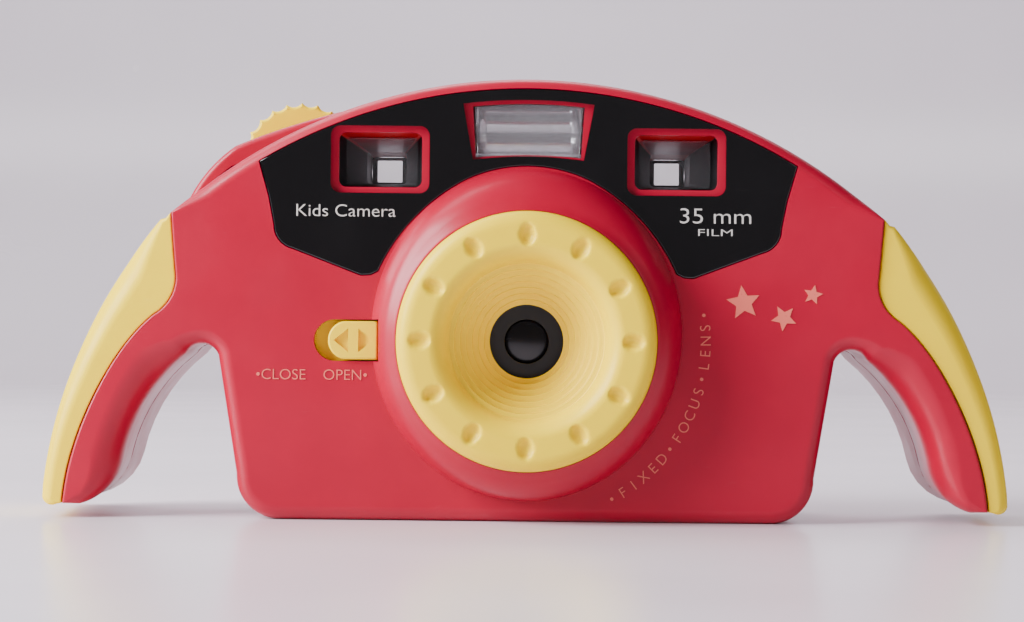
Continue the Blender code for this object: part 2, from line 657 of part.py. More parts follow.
def advance_wheel():
    """The scalloped thumb wheel on its shaft, with a small toothed pinion."""
    cusps, valley_points, valley = 16, 3, WHEEL_RADIUS - 1.25
    outline = []
    for i in range(cusps):
        outline.append((0.0, WHEEL_RADIUS))
        for j in range(1, valley_points + 1):
            share = j / (valley_points + 1)
            outline.append((share, valley + (WHEEL_RADIUS - valley) * (2 * share - 1) ** 2))
    points = []
    for index, (share, radius) in enumerate(outline):
        angle = math.tau * (index // (valley_points + 1) + share) / cusps
        points.append((WHEEL_X + radius * math.sin(angle), WHEEL_Z + radius * math.cos(angle)))
    place = (WHEEL_X, 0, WHEEL_Z)
    wheel = prism("advance_wheel", points, 28.0, 33.5, YELLOW, front_round=0.6, back_round=0.6, steps=1)
    shaft = rod("wheel_shaft", place, "Y", 1.5, 20.2, 34.5, segments=14)
    teeth, root, tip = 12, 3.3, 4.9
    tooth_half = 0.36
    pinion = rod("pinion_core", place, "Y", root, 24.9, 27.0, segments=24)
    bars = radial_bars(WHEEL_X, WHEEL_Z, root - 0.5, tip, tooth_half, teeth)
    teeth_parts = [prism(f"pinion_tooth_{i}", bar, 25.1, 26.8) for i, bar in enumerate(bars)]
    neck = rod("pinion_neck", place, "Y", 2.6, 26.5, 28.5, segments=16)
    join(wheel, neck, pinion, shaft, *teeth_parts)
    pivot(wheel, (WHEEL_X, 30.0, WHEEL_Z))


def take_up_spool():
    place = (WHEEL_X, SPOOL_Y, 0)
    profile = [(0, 7.0), (1.5, 7.0), (1.5, 10.1), (6.8, 10.1), (6.8, 11.3), (5.4, 11.3), (5.4, 54.9),
               (6.8, 54.9), (6.8, 56.1), (1.5, 56.1), (1.5, 60.6), (7.3, 60.6), (7.3, 62.6), (0, 62.6)]
    spool = turned("take_up_spool", profile, place, "Z", BLACK, 24)
    for i, tooth in enumerate(radial_bars(WHEEL_X, SPOOL_Y, 5.7, 7.1, 0.36, 18, offset=0.5)):
        join(spool, prism(f"crown_tooth_{i}", tooth, 62.0, 65.0, axis="Z"))
    cut(spool, block("film_slit", (WHEEL_X - 8, SPOOL_Y - 0.5, 20.0), (WHEEL_X + 8, SPOOL_Y + 0.5, 48.0)))
    pivot(spool, (WHEEL_X, SPOOL_Y, 0))


def sprocket_and_counter():
    place = (SPROCKET_X, SPROCKET_Y, 0)
    profile = [(0, 4.6), (2.0, 4.6), (2.0, 5.4), (1.2, 5.4), (1.2, 12.0), (3.2, 12.0), (3.2, 55.0),
               (1.2, 55.0), (1.2, 57.8), (0, 57.8)]
    sprocket = turned("sprocket", profile, place, "Z", BLACK, 20)
    for level in (19.6, 46.8):
        join(sprocket, rod(f"sprocket_disc_{level}", place, "Z", 4.0, level, level + 2.0, segments=20))
        for i, tooth in enumerate(radial_bars(SPROCKET_X, SPROCKET_Y, 3.5, 4.7, 0.4, 8, offset=0.3)):
            join(sprocket, prism(f"sprocket_tooth_{level}_{i}", tooth, level + 0.4, level + 1.6, axis="Z"))
    pivot(sprocket, (SPROCKET_X, SPROCKET_Y, 0))
    dial = rod("counter_dial", (COUNTER_X, COUNTER_Y, 0), "Z", 4.8, 3.0, 4.1, CLEAR, 28)
    pivot(dial, (COUNTER_X, COUNTER_Y, 3.5))
    block("counter_window", (COUNTER_X - 2.5, 28.5, 0.5), (COUNTER_X + 2.5, 33.1, 1.9), CLEAR, 0.2)


def main_chassis():
    """The inner frame: film gate, light tunnel, and the plates that carry the film shafts."""
    chassis = block("main_chassis", (-25.0, 27.0, 7.8), (25.9, 28.6, 58.05), BLACK)

    def ring(half_x, half_z, y):
        return [(sx * half_x, y, LENS_Z + sz * half_z) for sx, sz in ((1, 1), (-1, 1), (-1, -1), (1, -1))]

    tunnel = loft("tunnel_shape", [ring(7.4, 6.4, 13.8), ring(19.6, 13.6, 27.8)])
    bore = loft("tunnel_bore", [ring(6.2, 5.2, 13.0), ring(18.0, 12.0, 27.2), ring(18.2, 12.2, 31.0)])
    spool_plate = block("spool_plate", (-49.0, 13.0, 56.8), (25.5, 27.7, 57.9))
    base_plate = block("base_plate", (-49.0, 15.5, 7.9), (-36.0, 28.9, 9.6))
    base_link = block("base_link", (-37.0, 19.0, 8.2), (-24.0, 28.2, 9.4))
    wall = block("cartridge_wall", (24.4, 18.4, 8.3), (25.7, 28.0, 57.5))
    rails = [block(f"rail_{z}", (-24.0, 28.2, z), (24.0, 29.6, z + 1.2)) for z in (17.0, 49.6)]
    join(chassis, tunnel, spool_plate, base_link, base_plate, wall, *rails)
    cut(
        chassis,
        bore,
        rod("spool_bearing", (WHEEL_X, SPOOL_Y, 0), "Z", 2.0, 5, 60, segments=16),
        rod("sprocket_bearing", (SPROCKET_X, SPROCKET_Y, 0), "Z", 1.7, 5, 60, segments=14),
    )


def film_cartridge():
    """A standard 35 mm cartridge, with its light-trap lip and open spool ends."""
    place = (CARTRIDGE_X, CARTRIDGE_Y, 0)
    profile = [(0, 18.0), (2.6, 18.0), (2.6, 12.0), (5.4, 12.0), (5.4, 13.4), (12.4, 13.4), (12.5, 14.0),
               (12.5, 57.0), (12.4, 57.6), (5.4, 57.6), (5.4, 59.0), (0, 59.0)]
    can = turned("film_cartridge", profile, place, "Z", GREY, 32)
    join(can, block("cartridge_lip", (27.4, 27.2, 15.0), (37.0, 30.4, 56.0)))


def rewind():
    place = (CARTRIDGE_X, CARTRIDGE_Y, 0)
    profile = [(0, 0.8), (7.2, 0.8), (7.6, 1.2), (7.6, 2.9), (9.2, 2.9), (9.2, 4.2), (2.0, 4.2), (2.0, 15.5),
               (0, 15.5)]
    knob = turned("rewind_knob", profile, place, "Z", BLACK, 32)
    cut(knob, block("crank_groove", (33.0, 17.9, 0), (46.3, 22.1, 2.7)))
    pivot(knob, (CARTRIDGE_X, CARTRIDGE_Y, 2.0))
    crank = block("rewind_crank", (33.9, 18.4, 0.9), (45.6, 21.6, 1.9), YELLOW, 0.2)
    pivot(crank, (CRANK_PIVOT_X, CARTRIDGE_Y, CRANK_PIVOT_Z))


# ---------------------------------------------------------------- film door

def film_door():
    bottom, top = 6.6, 58.6
    door = prism("film_door", rounded_box(-50.3, bottom, 51.8, top, 2.5, 3), 36.3, 38.8, RED, back_round=1.0)
    barrel_low, barrel_high = 12.3, 53.6
    hinge_axis = (DOOR_PIVOT_X, DOOR_PIVOT_Y, 0)
    join(
        door,
        rod("door_barrel", hinge_axis, "Z", 1.7, barrel_low, barrel_high, segments=14),
        block("door_tongue", (DOOR_PIVOT_X, 36.5, barrel_low), (-49.0, 38.2, barrel_high)),
        prism("door_light_seal", rounded_box(-47.9, 9.4, 49.6, 56.1, 1.5, 2), 35.0, 36.6),
    )
    cut(
        door,
        rod("door_pin_hole", hinge_axis, "Z", 1.0, 5, 60, segments=12),
        block("latch_hole", (42.4, 34, 27.6), (48.8, 40, 40.2)),
    )
    pivot(door, (DOOR_PIVOT_X, DOOR_PIVOT_Y, 0))
    rod("door_hinge_pin", hinge_axis, "Z", 0.7, 8.3, 57.8, STEEL, 12)
    latch = block("door_latch", (45.7, 33.0, 28.0), (48.5, 39.3, 39.8), YELLOW, 0.4)
    join(latch, block("latch_tongue", (46.5, 33.1, 30.0), (50.6, 33.9, 38.0)))
    pressure = prism("pressure_plate", rounded_box(-21.5, 16.4, 21.5, 51.4, 1.5, 2), 30.6, 31.6, BLACK)
    pivot(pressure, (0, 31.0, LENS_Z))
    spring = arc((-14.0, 32.6), (0, 34.6), (14.0, 32.6), 10)
    leaf = chain(spring, [(x, y - 0.4) for x, y in reversed(spring)])
    prism("pressure_spring", leaf, LENS_Z - 5, LENS_Z + 5, STEEL, axis="Z")
    return latch


# ---------------------------------------------------------------- battery

def battery_group():
    """One AA cell in its tray, with its contacts, behind a sliding door in the base."""
    x, y, z = BATTERY_X, BATTERY_Y, BATTERY_Z
    cell = [(0, -25.2), (5.5, -25.2), (5.9, -24.9), (BATTERY_RADIUS, -24.4), (BATTERY_RADIUS, 23.6),
            (6.6, 24.0), (2.7, 24.0), (2.7, 25.2), (0, 25.2)]
    turned("battery", cell, (x, y, z), "X", COPPER, 24)
    tray = block("battery_tray", (x - 29.4, 3.0, 8.8), (x + 27.7, 18.3, 18.0), BLACK)
    cut(
        tray,
        rod("tray_bore", (x, y, z), "X", BATTERY_RADIUS + 0.4, -28.6, 27.0, segments=24),
        block("tray_mouth", (x - 28.6, y - 7.0, 7.0), (x + 27.0, y + 7.0, 10.5)),
    )
    block("contact_plate", (x + 26.2, y - 4, z - 0.6), (x + 26.6, y + 4, z + 5), STEEL)
    coil("contact_spring", (x, y, z), "X", 4.4, 0.7, -28.1, -25.8, 2.5, STEEL, 2.4)
    door = block("battery_door", (x - 28.9, 3.5, 0.5), (x + 29.5, 17.6, 2.1), RED, 0.3)
    join(
        door,
        block("door_catch", (x - 36.0, 6.5, 3.0), (x - 27.0, 14.5, 3.9)),
        block("door_catch_foot", (x - 28.7, 6.6, 1.8), (x - 27.1, 14.4, 3.8)),
    )
    ribs = [x - 24.0 + 3 * i for i in range(4)]
    cut(door, *[block(f"door_rib_{low:.0f}", (low, 7.0, 0), (low + 1.2, 14.0, 0.9)) for low in ribs])


# ---------------------------------------------------------------- assembly

def clear_scene():
    for leftover in list(bpy.data.objects):
        bpy.data.objects.remove(leftover)


def stand_on_origin():
    """Hangs every piece on one empty, which centres the camera's depth over the origin."""
    carrier = bpy.data.objects.new("camera_frame", None)
    bpy.context.scene.collection.objects.link(carrier)
    carrier.location = (0, -CENTRE_Y * MM, 0)
    for piece in bpy.data.objects:
        if piece is not carrier:
            piece.parent = carrier


def main():
    clear_scene()
    front_shell()
    rear_shell()
    for label, side in (("left", -1), ("right", 1)):
        grip(f"grip_{label}", side)
        finder(label, side)
    for index, (x, z) in enumerate(SCREW_PLACES, start=1):
        screw(index, x, z)
    front_panel()
    flash()
    lens_ring()
    lens_group()
    lens_cover()
    shutter_release()
    advance_wheel()
    take_up_spool()
    sprocket_and_counter()
    main_chassis()
    film_cartridge()
    rewind()
    film_door()
    battery_group()
    stand_on_origin()


main()
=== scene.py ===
import json
import logging
import math
from dataclasses import dataclass, field
from enum import Enum
from typing import Callable, Optional, Union

import bmesh
import bpy
from mathutils import Matrix, Vector


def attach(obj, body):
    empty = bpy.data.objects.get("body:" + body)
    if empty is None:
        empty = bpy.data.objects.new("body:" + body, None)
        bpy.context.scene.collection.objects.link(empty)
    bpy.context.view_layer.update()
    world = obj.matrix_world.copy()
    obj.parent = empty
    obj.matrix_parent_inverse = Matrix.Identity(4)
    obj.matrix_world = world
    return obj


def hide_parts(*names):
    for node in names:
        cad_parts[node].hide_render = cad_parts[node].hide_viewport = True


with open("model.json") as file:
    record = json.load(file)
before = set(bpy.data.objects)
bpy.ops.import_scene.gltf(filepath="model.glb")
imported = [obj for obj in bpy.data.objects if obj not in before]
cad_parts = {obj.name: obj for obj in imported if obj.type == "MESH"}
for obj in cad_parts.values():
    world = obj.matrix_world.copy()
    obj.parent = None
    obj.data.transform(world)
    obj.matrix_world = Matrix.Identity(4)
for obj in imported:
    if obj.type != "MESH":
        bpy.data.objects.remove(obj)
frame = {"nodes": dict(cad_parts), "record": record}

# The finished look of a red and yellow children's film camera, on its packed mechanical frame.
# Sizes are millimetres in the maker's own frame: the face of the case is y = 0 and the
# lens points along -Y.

LOG = logging.getLogger("kids_camera")
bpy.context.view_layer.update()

MM = 0.001
FACE_OFFSET = -14.0  # the case face stands this far along Y in the frame
TOP_Z = 83.3
SHOULDER = (66.9, 57.5)
SEAM_FOOT = (89.4, 2.7)
LENS_Z = 33.9
SPLIT_Y = 19.0
WHEEL_PLACE = (-45.2, 69.1)
FINDER_X = 27.8
FINDER_Z = 67.8
MOUND_FOOT = (-66.6, 57.9)
MOUND_END = (-25.5, 80.0)
MOUND_DIP = 1.5
SIDES = (("left", -1), ("right", 1))

Point = tuple[float, float]
Triple = tuple[float, float, float]
Number = Union[float, "Value"]


class Slot(Enum):
    """The material slots of the record that new pieces take their finish from."""

    RED_SHELL = "red_shell"
    YELLOW_TRIM = "yellow_trim"
    BLACK_PANEL = "black_panel"
    BLACK_PLASTIC = "black_plastic"
    CLEAR_PLASTIC = "clear_plastic"
    LAMP_RED = "lamp_red"
    DIAL_WHITE = "dial_white"
    REFLECTOR = "reflector"
    SPRING_STEEL = "spring_steel"
    CARTRIDGE = "cartridge"
    CELL_WRAP = "cell_wrap"
    BOARD = "board"


# ---------------------------------------------------------------- flat outlines


def arc(first: Point, middle: Point, last: Point, steps: int) -> list[Point]:
    """Points of the circle through three points.

    Args:
        first: where the run starts.
        middle: a point that it passes.
        last: where it ends.
        steps: how many straight pieces stand for it.

    Returns:
        The points from the first to the last.
    """
    (ax, ay), (bx, by), (cx, cy) = first, middle, last
    d = 2 * (ax * (by - cy) + bx * (cy - ay) + cx * (ay - by))
    a2, b2, c2 = ax * ax + ay * ay, bx * bx + by * by, cx * cx + cy * cy
    ux = (a2 * (by - cy) + b2 * (cy - ay) + c2 * (ay - by)) / d
    uy = (a2 * (cx - bx) + b2 * (ax - cx) + c2 * (bx - ax)) / d
    radius = math.dist((ux, uy), first)
    start, through, end = (math.atan2(y - uy, x - ux) for x, y in (first, middle, last))
    sweep = (end - start) % math.tau
    if (through - start) % math.tau > sweep:
        sweep -= math.tau
    angles = [start + sweep * i / steps for i in range(steps + 1)]
    return [(ux + radius * math.cos(a), uy + radius * math.sin(a)) for a in angles]


def chain(*runs: list[Point]) -> list[Point]:
    """Joins runs of points into a closed outline.

    Args:
        runs: the runs in order; a point that repeats the one before it is left out.

    Returns:
        The points of the outline.
    """
    points: list[Point] = []
    for run in runs:
        for point in run:
            if not points or math.dist(points[-1], point) > 0.05:
                points.append(point)
    if math.dist(points[0], points[-1]) < 0.05:
        points.pop()
    return points


def mirrored(points: list[Point]) -> list[Point]:
    """The same run of points on the other side, in the opposite order."""
    return [(-x, y) for x, y in reversed(points)]


def inset(points: list[Point], amounts: Union[float, list[float]]) -> list[Point]:
    """Moves the sides of a closed outline inwards.

    Args:
        points: the outline.
        amounts: how far each corner goes in, or one distance for all of them.

    Returns:
        The smaller outline.
    """
    reaches = amounts if isinstance(amounts, list) else [amounts] * len(points)
    earlier, later = points[-1:] + points[:-1], points[1:] + points[:1]
    area = sum(a[0] * b[1] - b[0] * a[1] for a, b in zip(points, later))
    turn = math.copysign(1.0, area)
    moved = []
    for before, here, after, amount in zip(earlier, points, later, reaches):
        normals = []
        for start, end in ((before, here), (here, after)):
            length = math.dist(start, end)
            normals.append((-(end[1] - start[1]) / length * turn, (end[0] - start[0]) / length * turn))
        (n1x, n1y), (n2x, n2y) = normals
        reach = amount / max(1 + n1x * n2x + n1y * n2y, 0.5)
        moved.append((here[0] + (n1x + n2x) * reach, here[1] + (n1y + n2y) * reach))
    return moved


def rounded_box(x0: float, z0: float, x1: float, z1: float, radius: float, steps: int = 6) -> list[Point]:
    """A rectangle with round corners, as a closed outline."""
    points = []
    for cx, cz, start in ((x1, z1, 0), (x0, z1, 90), (x0, z0, 180), (x1, z0, 270)):
        mx = cx - math.copysign(radius, cx - (x0 + x1) / 2)
        mz = cz - math.copysign(radius, cz - (z0 + z1) / 2)
        for i in range(steps + 1):
            angle = math.radians(start + 90 * i / steps)
            points.append((mx + radius * math.cos(angle), mz + radius * math.sin(angle)))
    return points


def round_outline(centre: Point, radius: float, steps: int) -> list[Point]:
    """A circle as a closed outline."""
    angles = [math.tau * i / steps for i in range(steps)]
    return [(centre[0] + radius * math.cos(a), centre[1] + radius * math.sin(a)) for a in angles]


def crown_arc(half_width: float, top_z: float, steps: int) -> list[Point]:
    """An arch concentric with the case's top line, from left to right."""
    rise = TOP_Z - SHOULDER[1]
    radius = (SHOULDER[0] ** 2 + rise**2) / (2 * rise) - (TOP_Z - top_z)
    drop = radius - math.sqrt(radius**2 - half_width**2)
    return arc((-half_width, top_z - drop), (0, top_z), (half_width, top_z - drop), steps)


def grip_seam() -> list[Point]:
    """The right seam between red shell and yellow grip, from the shoulder to the tip."""
    return chain(
        arc(SHOULDER, (66.3, 50.0), (65.9, 45.5), 8),
        arc((65.9, 45.5), (66.9, 41.4), (70.2, 38.2), 10),
        arc((70.2, 38.2), (81.4, 26.0), SEAM_FOOT, 24),
    )


def oval(half: Point, level: float, centre_z: float, steps: int) -> list[Triple]:
    """A ring of points round an axis along Y.

    Args:
        half: its half sizes along X and Z.
        level: its y.
        centre_z: the z of its middle.
        steps: how many points it has.

    Returns:
        The points.
    """
    turns = [math.tau * i / steps for i in range(steps)]
    return [(half[0] * math.cos(t), level, centre_z + half[1] * math.sin(t)) for t in turns]


# ---------------------------------------------------------------- shapes


def linked(name: str, data: bpy.types.ID) -> bpy.types.Object:
    """Makes an object of some data and links it to the scene."""
    holder = bpy.data.objects.new(name, data)
    bpy.context.scene.collection.objects.link(holder)
    return holder


class Shape:
    """A mesh in the making, in millimetres of the maker's frame."""

    def __init__(self) -> None:
        """Starts empty."""
        self.mesh = bmesh.new()

    def loft(self, rings: list[list[Triple]]) -> "Shape":
        """Adds a closed body through rings of the same number of points.

        Args:
            rings: the rings in order; the first and the last are capped.

        Returns:
            The shape itself.
        """
        face = self.mesh.faces.new([self.mesh.verts.new(point) for point in rings[0]])
        for index, ring in enumerate(rings[1:]):
            grown = bmesh.ops.extrude_face_region(self.mesh, geom=[face])["geom"]
            if index and face.is_valid:
                bmesh.ops.delete(self.mesh, geom=[face], context="FACES_ONLY")
            face = next(item for item in grown if isinstance(item, bmesh.types.BMFace))
            for vert, point in zip(face.verts, ring):
                vert.co = point
        return self

    def prism(
        self,
        outline: list[Point],
        start: float,
        end: float,
        front: Union[float, list[float]] = 0.0,
        back: Union[float, list[float]] = 0.0,
        steps: int = 5,
    ) -> "Shape":
        """Adds an (x, z) outline extruded along Y, with rounded front and back edges.

        Args:
            outline: the closed outline.
            start: y of the front face.
            end: y of the back face.
            front: the radius of the front edge, for all corners or for each.
            back: the radius of the back edge.
            steps: how many facets stand for a quarter round.

        Returns:
            The shape itself.
        """
        rings: list[list[Triple]] = []
        for size, level, way in ((front, start, 1), (back, end, -1)):
            sizes = size if isinstance(size, list) else [size] * len(outline)
            count = steps if max(sizes) > 0 else 0
            edge = []
            for i in range(count + 1):
                a = math.radians(90 * i / count) if count else math.radians(90)
                line = inset(outline, [s * (1 - math.sin(a)) for s in sizes]) if count else outline
                rise = [s * (1 - math.cos(a)) if count else 0.0 for s in sizes]
                edge.append([(x, level + way * r, z) for (x, z), r in zip(line, rise)])
            rings += edge if way > 0 else edge[::-1]
        return self.loft(rings)

    def sunk(self, outline: list[Point], start: float, end: float) -> "Shape":
        """Adds an (x, y) outline extruded along Z.

        Args:
            outline: the closed outline.
            start: the lower z.
            end: the upper z.

        Returns:
            The shape itself.
        """
        return self.loft([[(x, y, z) for x, y in outline] for z in (start, end)])

    def turned(self, profile: list[Point], centre: Point, segments: int = 96) -> "Shape":
        """Adds a body of (radius, y) points spun about an axis along Y.

        Args:
            profile: the section; off the axis it is closed on itself.
            centre: x and z of the axis.
            segments: how many steps go round.

        Returns:
            The shape itself.
        """
        verts = [self.mesh.verts.new((radius, along, 0)) for radius, along in profile]
        edges = [self.mesh.edges.new(pair) for pair in zip(verts, verts[1:])]
        if profile[0][0] > 0 or profile[-1][0] > 0:
            edges.append(self.mesh.edges.new((verts[-1], verts[0])))
        before = set(self.mesh.verts) - set(verts)
        bmesh.ops.spin(
            self.mesh,
            geom=verts + edges,
            axis=(0, 1, 0),
            cent=(0, 0, 0),
            angle=math.tau,
            steps=segments,
            use_merge=True,
        )
        made = [vert for vert in self.mesh.verts if vert not in before]
        bmesh.ops.translate(self.mesh, vec=(centre[0], 0, centre[1]), verts=made)
        return self

    def each_vert(self, move: Callable[[Vector], Vector]) -> "Shape":
        """Puts every vertex through a function of its place."""
        for vert in self.mesh.verts:
            vert.co = move(vert.co.copy())
        return self

    def to_object(self, name: str) -> bpy.types.Object:
        """Turns the shape into an object in the frame, in metres.

        Args:
            name: the object's name.

        Returns:
            The object, at the origin.
        """
        bmesh.ops.remove_doubles(self.mesh, verts=self.mesh.verts, dist=1e-4)
        bmesh.ops.recalc_face_normals(self.mesh, faces=self.mesh.faces)
        bmesh.ops.translate(self.mesh, vec=(0, FACE_OFFSET, 0), verts=self.mesh.verts)
        bmesh.ops.scale(self.mesh, vec=(MM, MM, MM), verts=self.mesh.verts)
        data = bpy.data.meshes.new(name)
        self.mesh.to_mesh(data)
        self.mesh.free()
        return linked(name, data)


def carve(piece: bpy.types.Object, *cutters: bpy.types.Object) -> None:
    """Cuts bodies out of a piece and removes the cutters.

    Args:
        piece: the piece that is cut.
        cutters: closed bodies that reach through its wall.
    """
    for cutter in cutters:
        step = piece.modifiers.new("cut", "BOOLEAN")
        step.operation, step.solver, step.object = "DIFFERENCE", "EXACT", cutter
    graph = bpy.context.evaluated_depsgraph_get()
    data = bpy.data.meshes.new_from_object(piece.evaluated_get(graph))
    piece.modifiers.clear()
    piece.data = data
    for cutter in cutters:
        bpy.data.objects.remove(cutter)


def smoothed(piece: bpy.types.Object, sharp_degrees: float = 35.0) -> None:
    """Shades a piece smooth, with its sharper edges kept and flat faces kept flat."""
    piece.data.shade_smooth()
    piece.data.set_sharp_from_angle(angle=math.radians(sharp_degrees))
    step = piece.modifiers.new("flat_faces", "WEIGHTED_NORMAL")
    step.keep_sharp = True
    step.weight = 100


# ---------------------------------------------------------------- materials


class Value:
    """A number in a material that adds Math nodes when it is used in an expression."""

    def __init__(self, recipe: "Recipe", socket: bpy.types.NodeSocket) -> None:
        """Wraps a socket of a recipe."""
        self.recipe = recipe
        self.socket = socket

    def _math(self, operation: str, first: Number, second: Number) -> "Value":
        """One Math node on two numbers."""
        made = self.recipe.node("ShaderNodeMath", {"operation": operation}, {0: first, 1: second})
        return self.recipe.value(made)

    def __add__(self, other: Number) -> "Value":
        """self + other."""
        return self._math("ADD", self, other)

    __radd__ = __add__

    def __sub__(self, other: Number) -> "Value":
        """self - other."""
        return self._math("SUBTRACT", self, other)

    def __rsub__(self, other: Number) -> "Value":
        """other - self."""
        return self._math("SUBTRACT", other, self)

    def __mul__(self, other: Number) -> "Value":
        """self * other."""
        return self._math("MULTIPLY", self, other)

    __rmul__ = __mul__

    def __gt__(self, other: Number) -> "Value":
        """1 where self is more than other."""
        return self._math("GREATER_THAN", self, other)

    def wave(self) -> "Value":
        """The sine of self."""
        return self._math("SINE", self, 0.0)

    def size(self) -> "Value":
        """self without its sign."""
        return self._math("ABSOLUTE", self, 0.0)

    def between(self, low: float, high: float) -> "Value":
        """0 below low, 1 above high and a soft step between them."""
        settings = {"interpolation_type": "SMOOTHSTEP"}
        inputs = {"Value": self, "From Min": low, "From Max": high}
        return self.recipe.value(self.recipe.node("ShaderNodeMapRange", settings, inputs))


class Recipe:
    """One material and the nodes that make it."""

    def __init__(self, name: str) -> None:
        """Starts a material with a Principled shader."""
        self.material = bpy.data.materials.new(name)
        self.material.use_nodes = True
        self.tree = self.material.node_tree
        self.shader = self.tree.nodes["Principled BSDF"]
        self.place = self.node("ShaderNodeTexCoord").outputs["Object"]

    def node(
        self, kind: str, settings: Optional[dict[str, object]] = None, inputs: Optional[dict] = None
    ) -> bpy.types.Node:
        """Adds one node.

        Args:
            kind: the node's type.
            settings: its own settings, which are set first; "stops" gives a ramp's (place, colour) pairs.
            inputs: what its sockets hold, by name or number: numbers, colours, sockets or Values.

        Returns:
            The node.
        """
        made = self.tree.nodes.new(kind)
        for key, setting in (settings or {}).items():
            if key == "stops":
                ramp = made.color_ramp
                while len(ramp.elements) < len(setting):
                    ramp.elements.new(1.0)
                for element, (where, colour) in zip(ramp.elements, setting):
                    element.position, element.color = where, (*colour, 1.0)
            else:
                setattr(made, key, setting)
        for key, content in (inputs or {}).items():
            self.feed(made.inputs[key], content)
        return made

    def feed(self, socket: bpy.types.NodeSocket, content: object) -> None:
        """Links or sets one socket.

        Args:
            socket: the socket to fill.
            content: a Value, a socket, a colour, a vector or a number.
        """
        if isinstance(content, Value):
            content = content.socket
        if isinstance(content, bpy.types.NodeSocket):
            self.tree.links.new(content, socket)
        elif isinstance(content, tuple) and len(content) == 3 and socket.type == "RGBA":
            socket.default_value = (*content, 1.0)
        else:
            socket.default_value = content

    def value(self, node: bpy.types.Node, output: Union[int, str] = 0) -> Value:
        """One output of a node as a number for expressions."""
        return Value(self, node.outputs[output])

    def shader_sockets(self, **sockets: object) -> None:
        """Sets or links the shader's own sockets; an underscore stands for a space."""
        for key, content in sockets.items():
            self.feed(self.shader.inputs[key.replace("_", " ")], content)

    def stretched(self, stretch: Triple) -> bpy.types.NodeSocket:
        """The object's own coordinates, stretched along its axes."""
        return self.node("ShaderNodeMapping", {}, {"Vector": self.place, "Scale": stretch}).outputs[0]

    def noise(self, grain_mm: float, detail: float = 2.0, stretch: Triple = (1.0, 1.0, 1.0)) -> Value:
        """Soft noise.

        Args:
            grain_mm: the size of its blotches.
            detail: how much finer noise lies in them.
            stretch: a scale for each axis.

        Returns:
            The noise, about 0.5 in the middle.
        """
        inputs = {"Vector": self.stretched(stretch), "Scale": 1000.0 / grain_mm, "Detail": detail}
        return self.value(self.node("ShaderNodeTexNoise", {}, inputs))

    def axis(self, name: str) -> Value:
        """The X, Y or Z of the object's own coordinates, in metres."""
        return self.value(self.node("ShaderNodeSeparateXYZ", {}, {0: self.place}), name)

    def mix(self, share: Number, first: object, second: object) -> bpy.types.NodeSocket:
        """A colour between two colours.

        Args:
            share: 0 for the first and 1 for the second.
            first: a colour or a socket.
            second: a colour or a socket.

        Returns:
            The mixed colour's socket.
        """
        made = self.node("ShaderNodeMix", {"data_type": "RGBA"}, {"Factor": share})
        self.feed(made.inputs[6], first)
        self.feed(made.inputs[7], second)
        return made.outputs[2]

    def relief(self, height: Value, depth_mm: float, strength: float = 1.0) -> None:
        """Bumps the surface by a height from 0 to 1."""
        inputs = {"Strength": strength, "Distance": depth_mm * MM, "Height": height}
        bump = self.node("ShaderNodeBump", {}, inputs)
        self.shader_sockets(Normal=bump.outputs[0])


def shade(colour: Triple, factor: float) -> Triple:
    """A lighter or darker version of a colour."""
    return tuple(min(1.0, part * factor) for part in colour)


@dataclass(frozen=True)
class MouldedPlastic:
    """Opaque injection-moulded plastic with flow mottling, a fine mould grain and handling marks."""

    name: str
    colour: Triple
    roughness: float = 0.34
    mottle: float = 0.07
    grain_mm: float = 0.35
    grain_depth: float = 0.012
    waviness: float = 0.05
    glow: float = 0.0
    coat: float = 0.25
    gloss: float = 0.5

    def material(self) -> bpy.types.Material:
        """Makes the material."""
        recipe = Recipe(self.name)
        flow = recipe.noise(34.0, 3.0, (1.0, 1.0, 1.6))
        cloud = recipe.noise(7.0, 4.0)
        tone = (flow * 0.65 + cloud * 0.35).between(0.34, 0.68)
        colour = recipe.mix(tone, shade(self.colour, 1 - self.mottle), shade(self.colour, 1 + self.mottle))
        scuff = recipe.noise(1.6, 5.0, (0.35, 1.0, 1.7)).between(0.66, 0.8)
        colour = recipe.mix(scuff * 0.03, colour, recipe.mix(0.4, self.colour, (0.85, 0.8, 0.8)))
        smear = recipe.noise(15.0, 3.0).between(0.42, 0.66)
        grain = recipe.noise(self.grain_mm, 2.0)
        wave = recipe.noise(11.0, 1.0)
        recipe.shader_sockets(
            Base_Color=colour,
            Roughness=smear * 0.09 + grain * 0.05 + scuff * 0.12 + (self.roughness - 0.07),
            IOR=1.49,
            Specular_IOR_Level=self.gloss,
            Coat_Weight=self.coat,
            Coat_Roughness=0.16,
            Subsurface_Weight=self.glow,
            Subsurface_Radius=(1.0, 0.55, 0.2),
            Subsurface_Scale=0.0022,
        )
        recipe.relief(grain * self.grain_depth + wave * self.waviness, 1.0, 0.6)
        return recipe.material


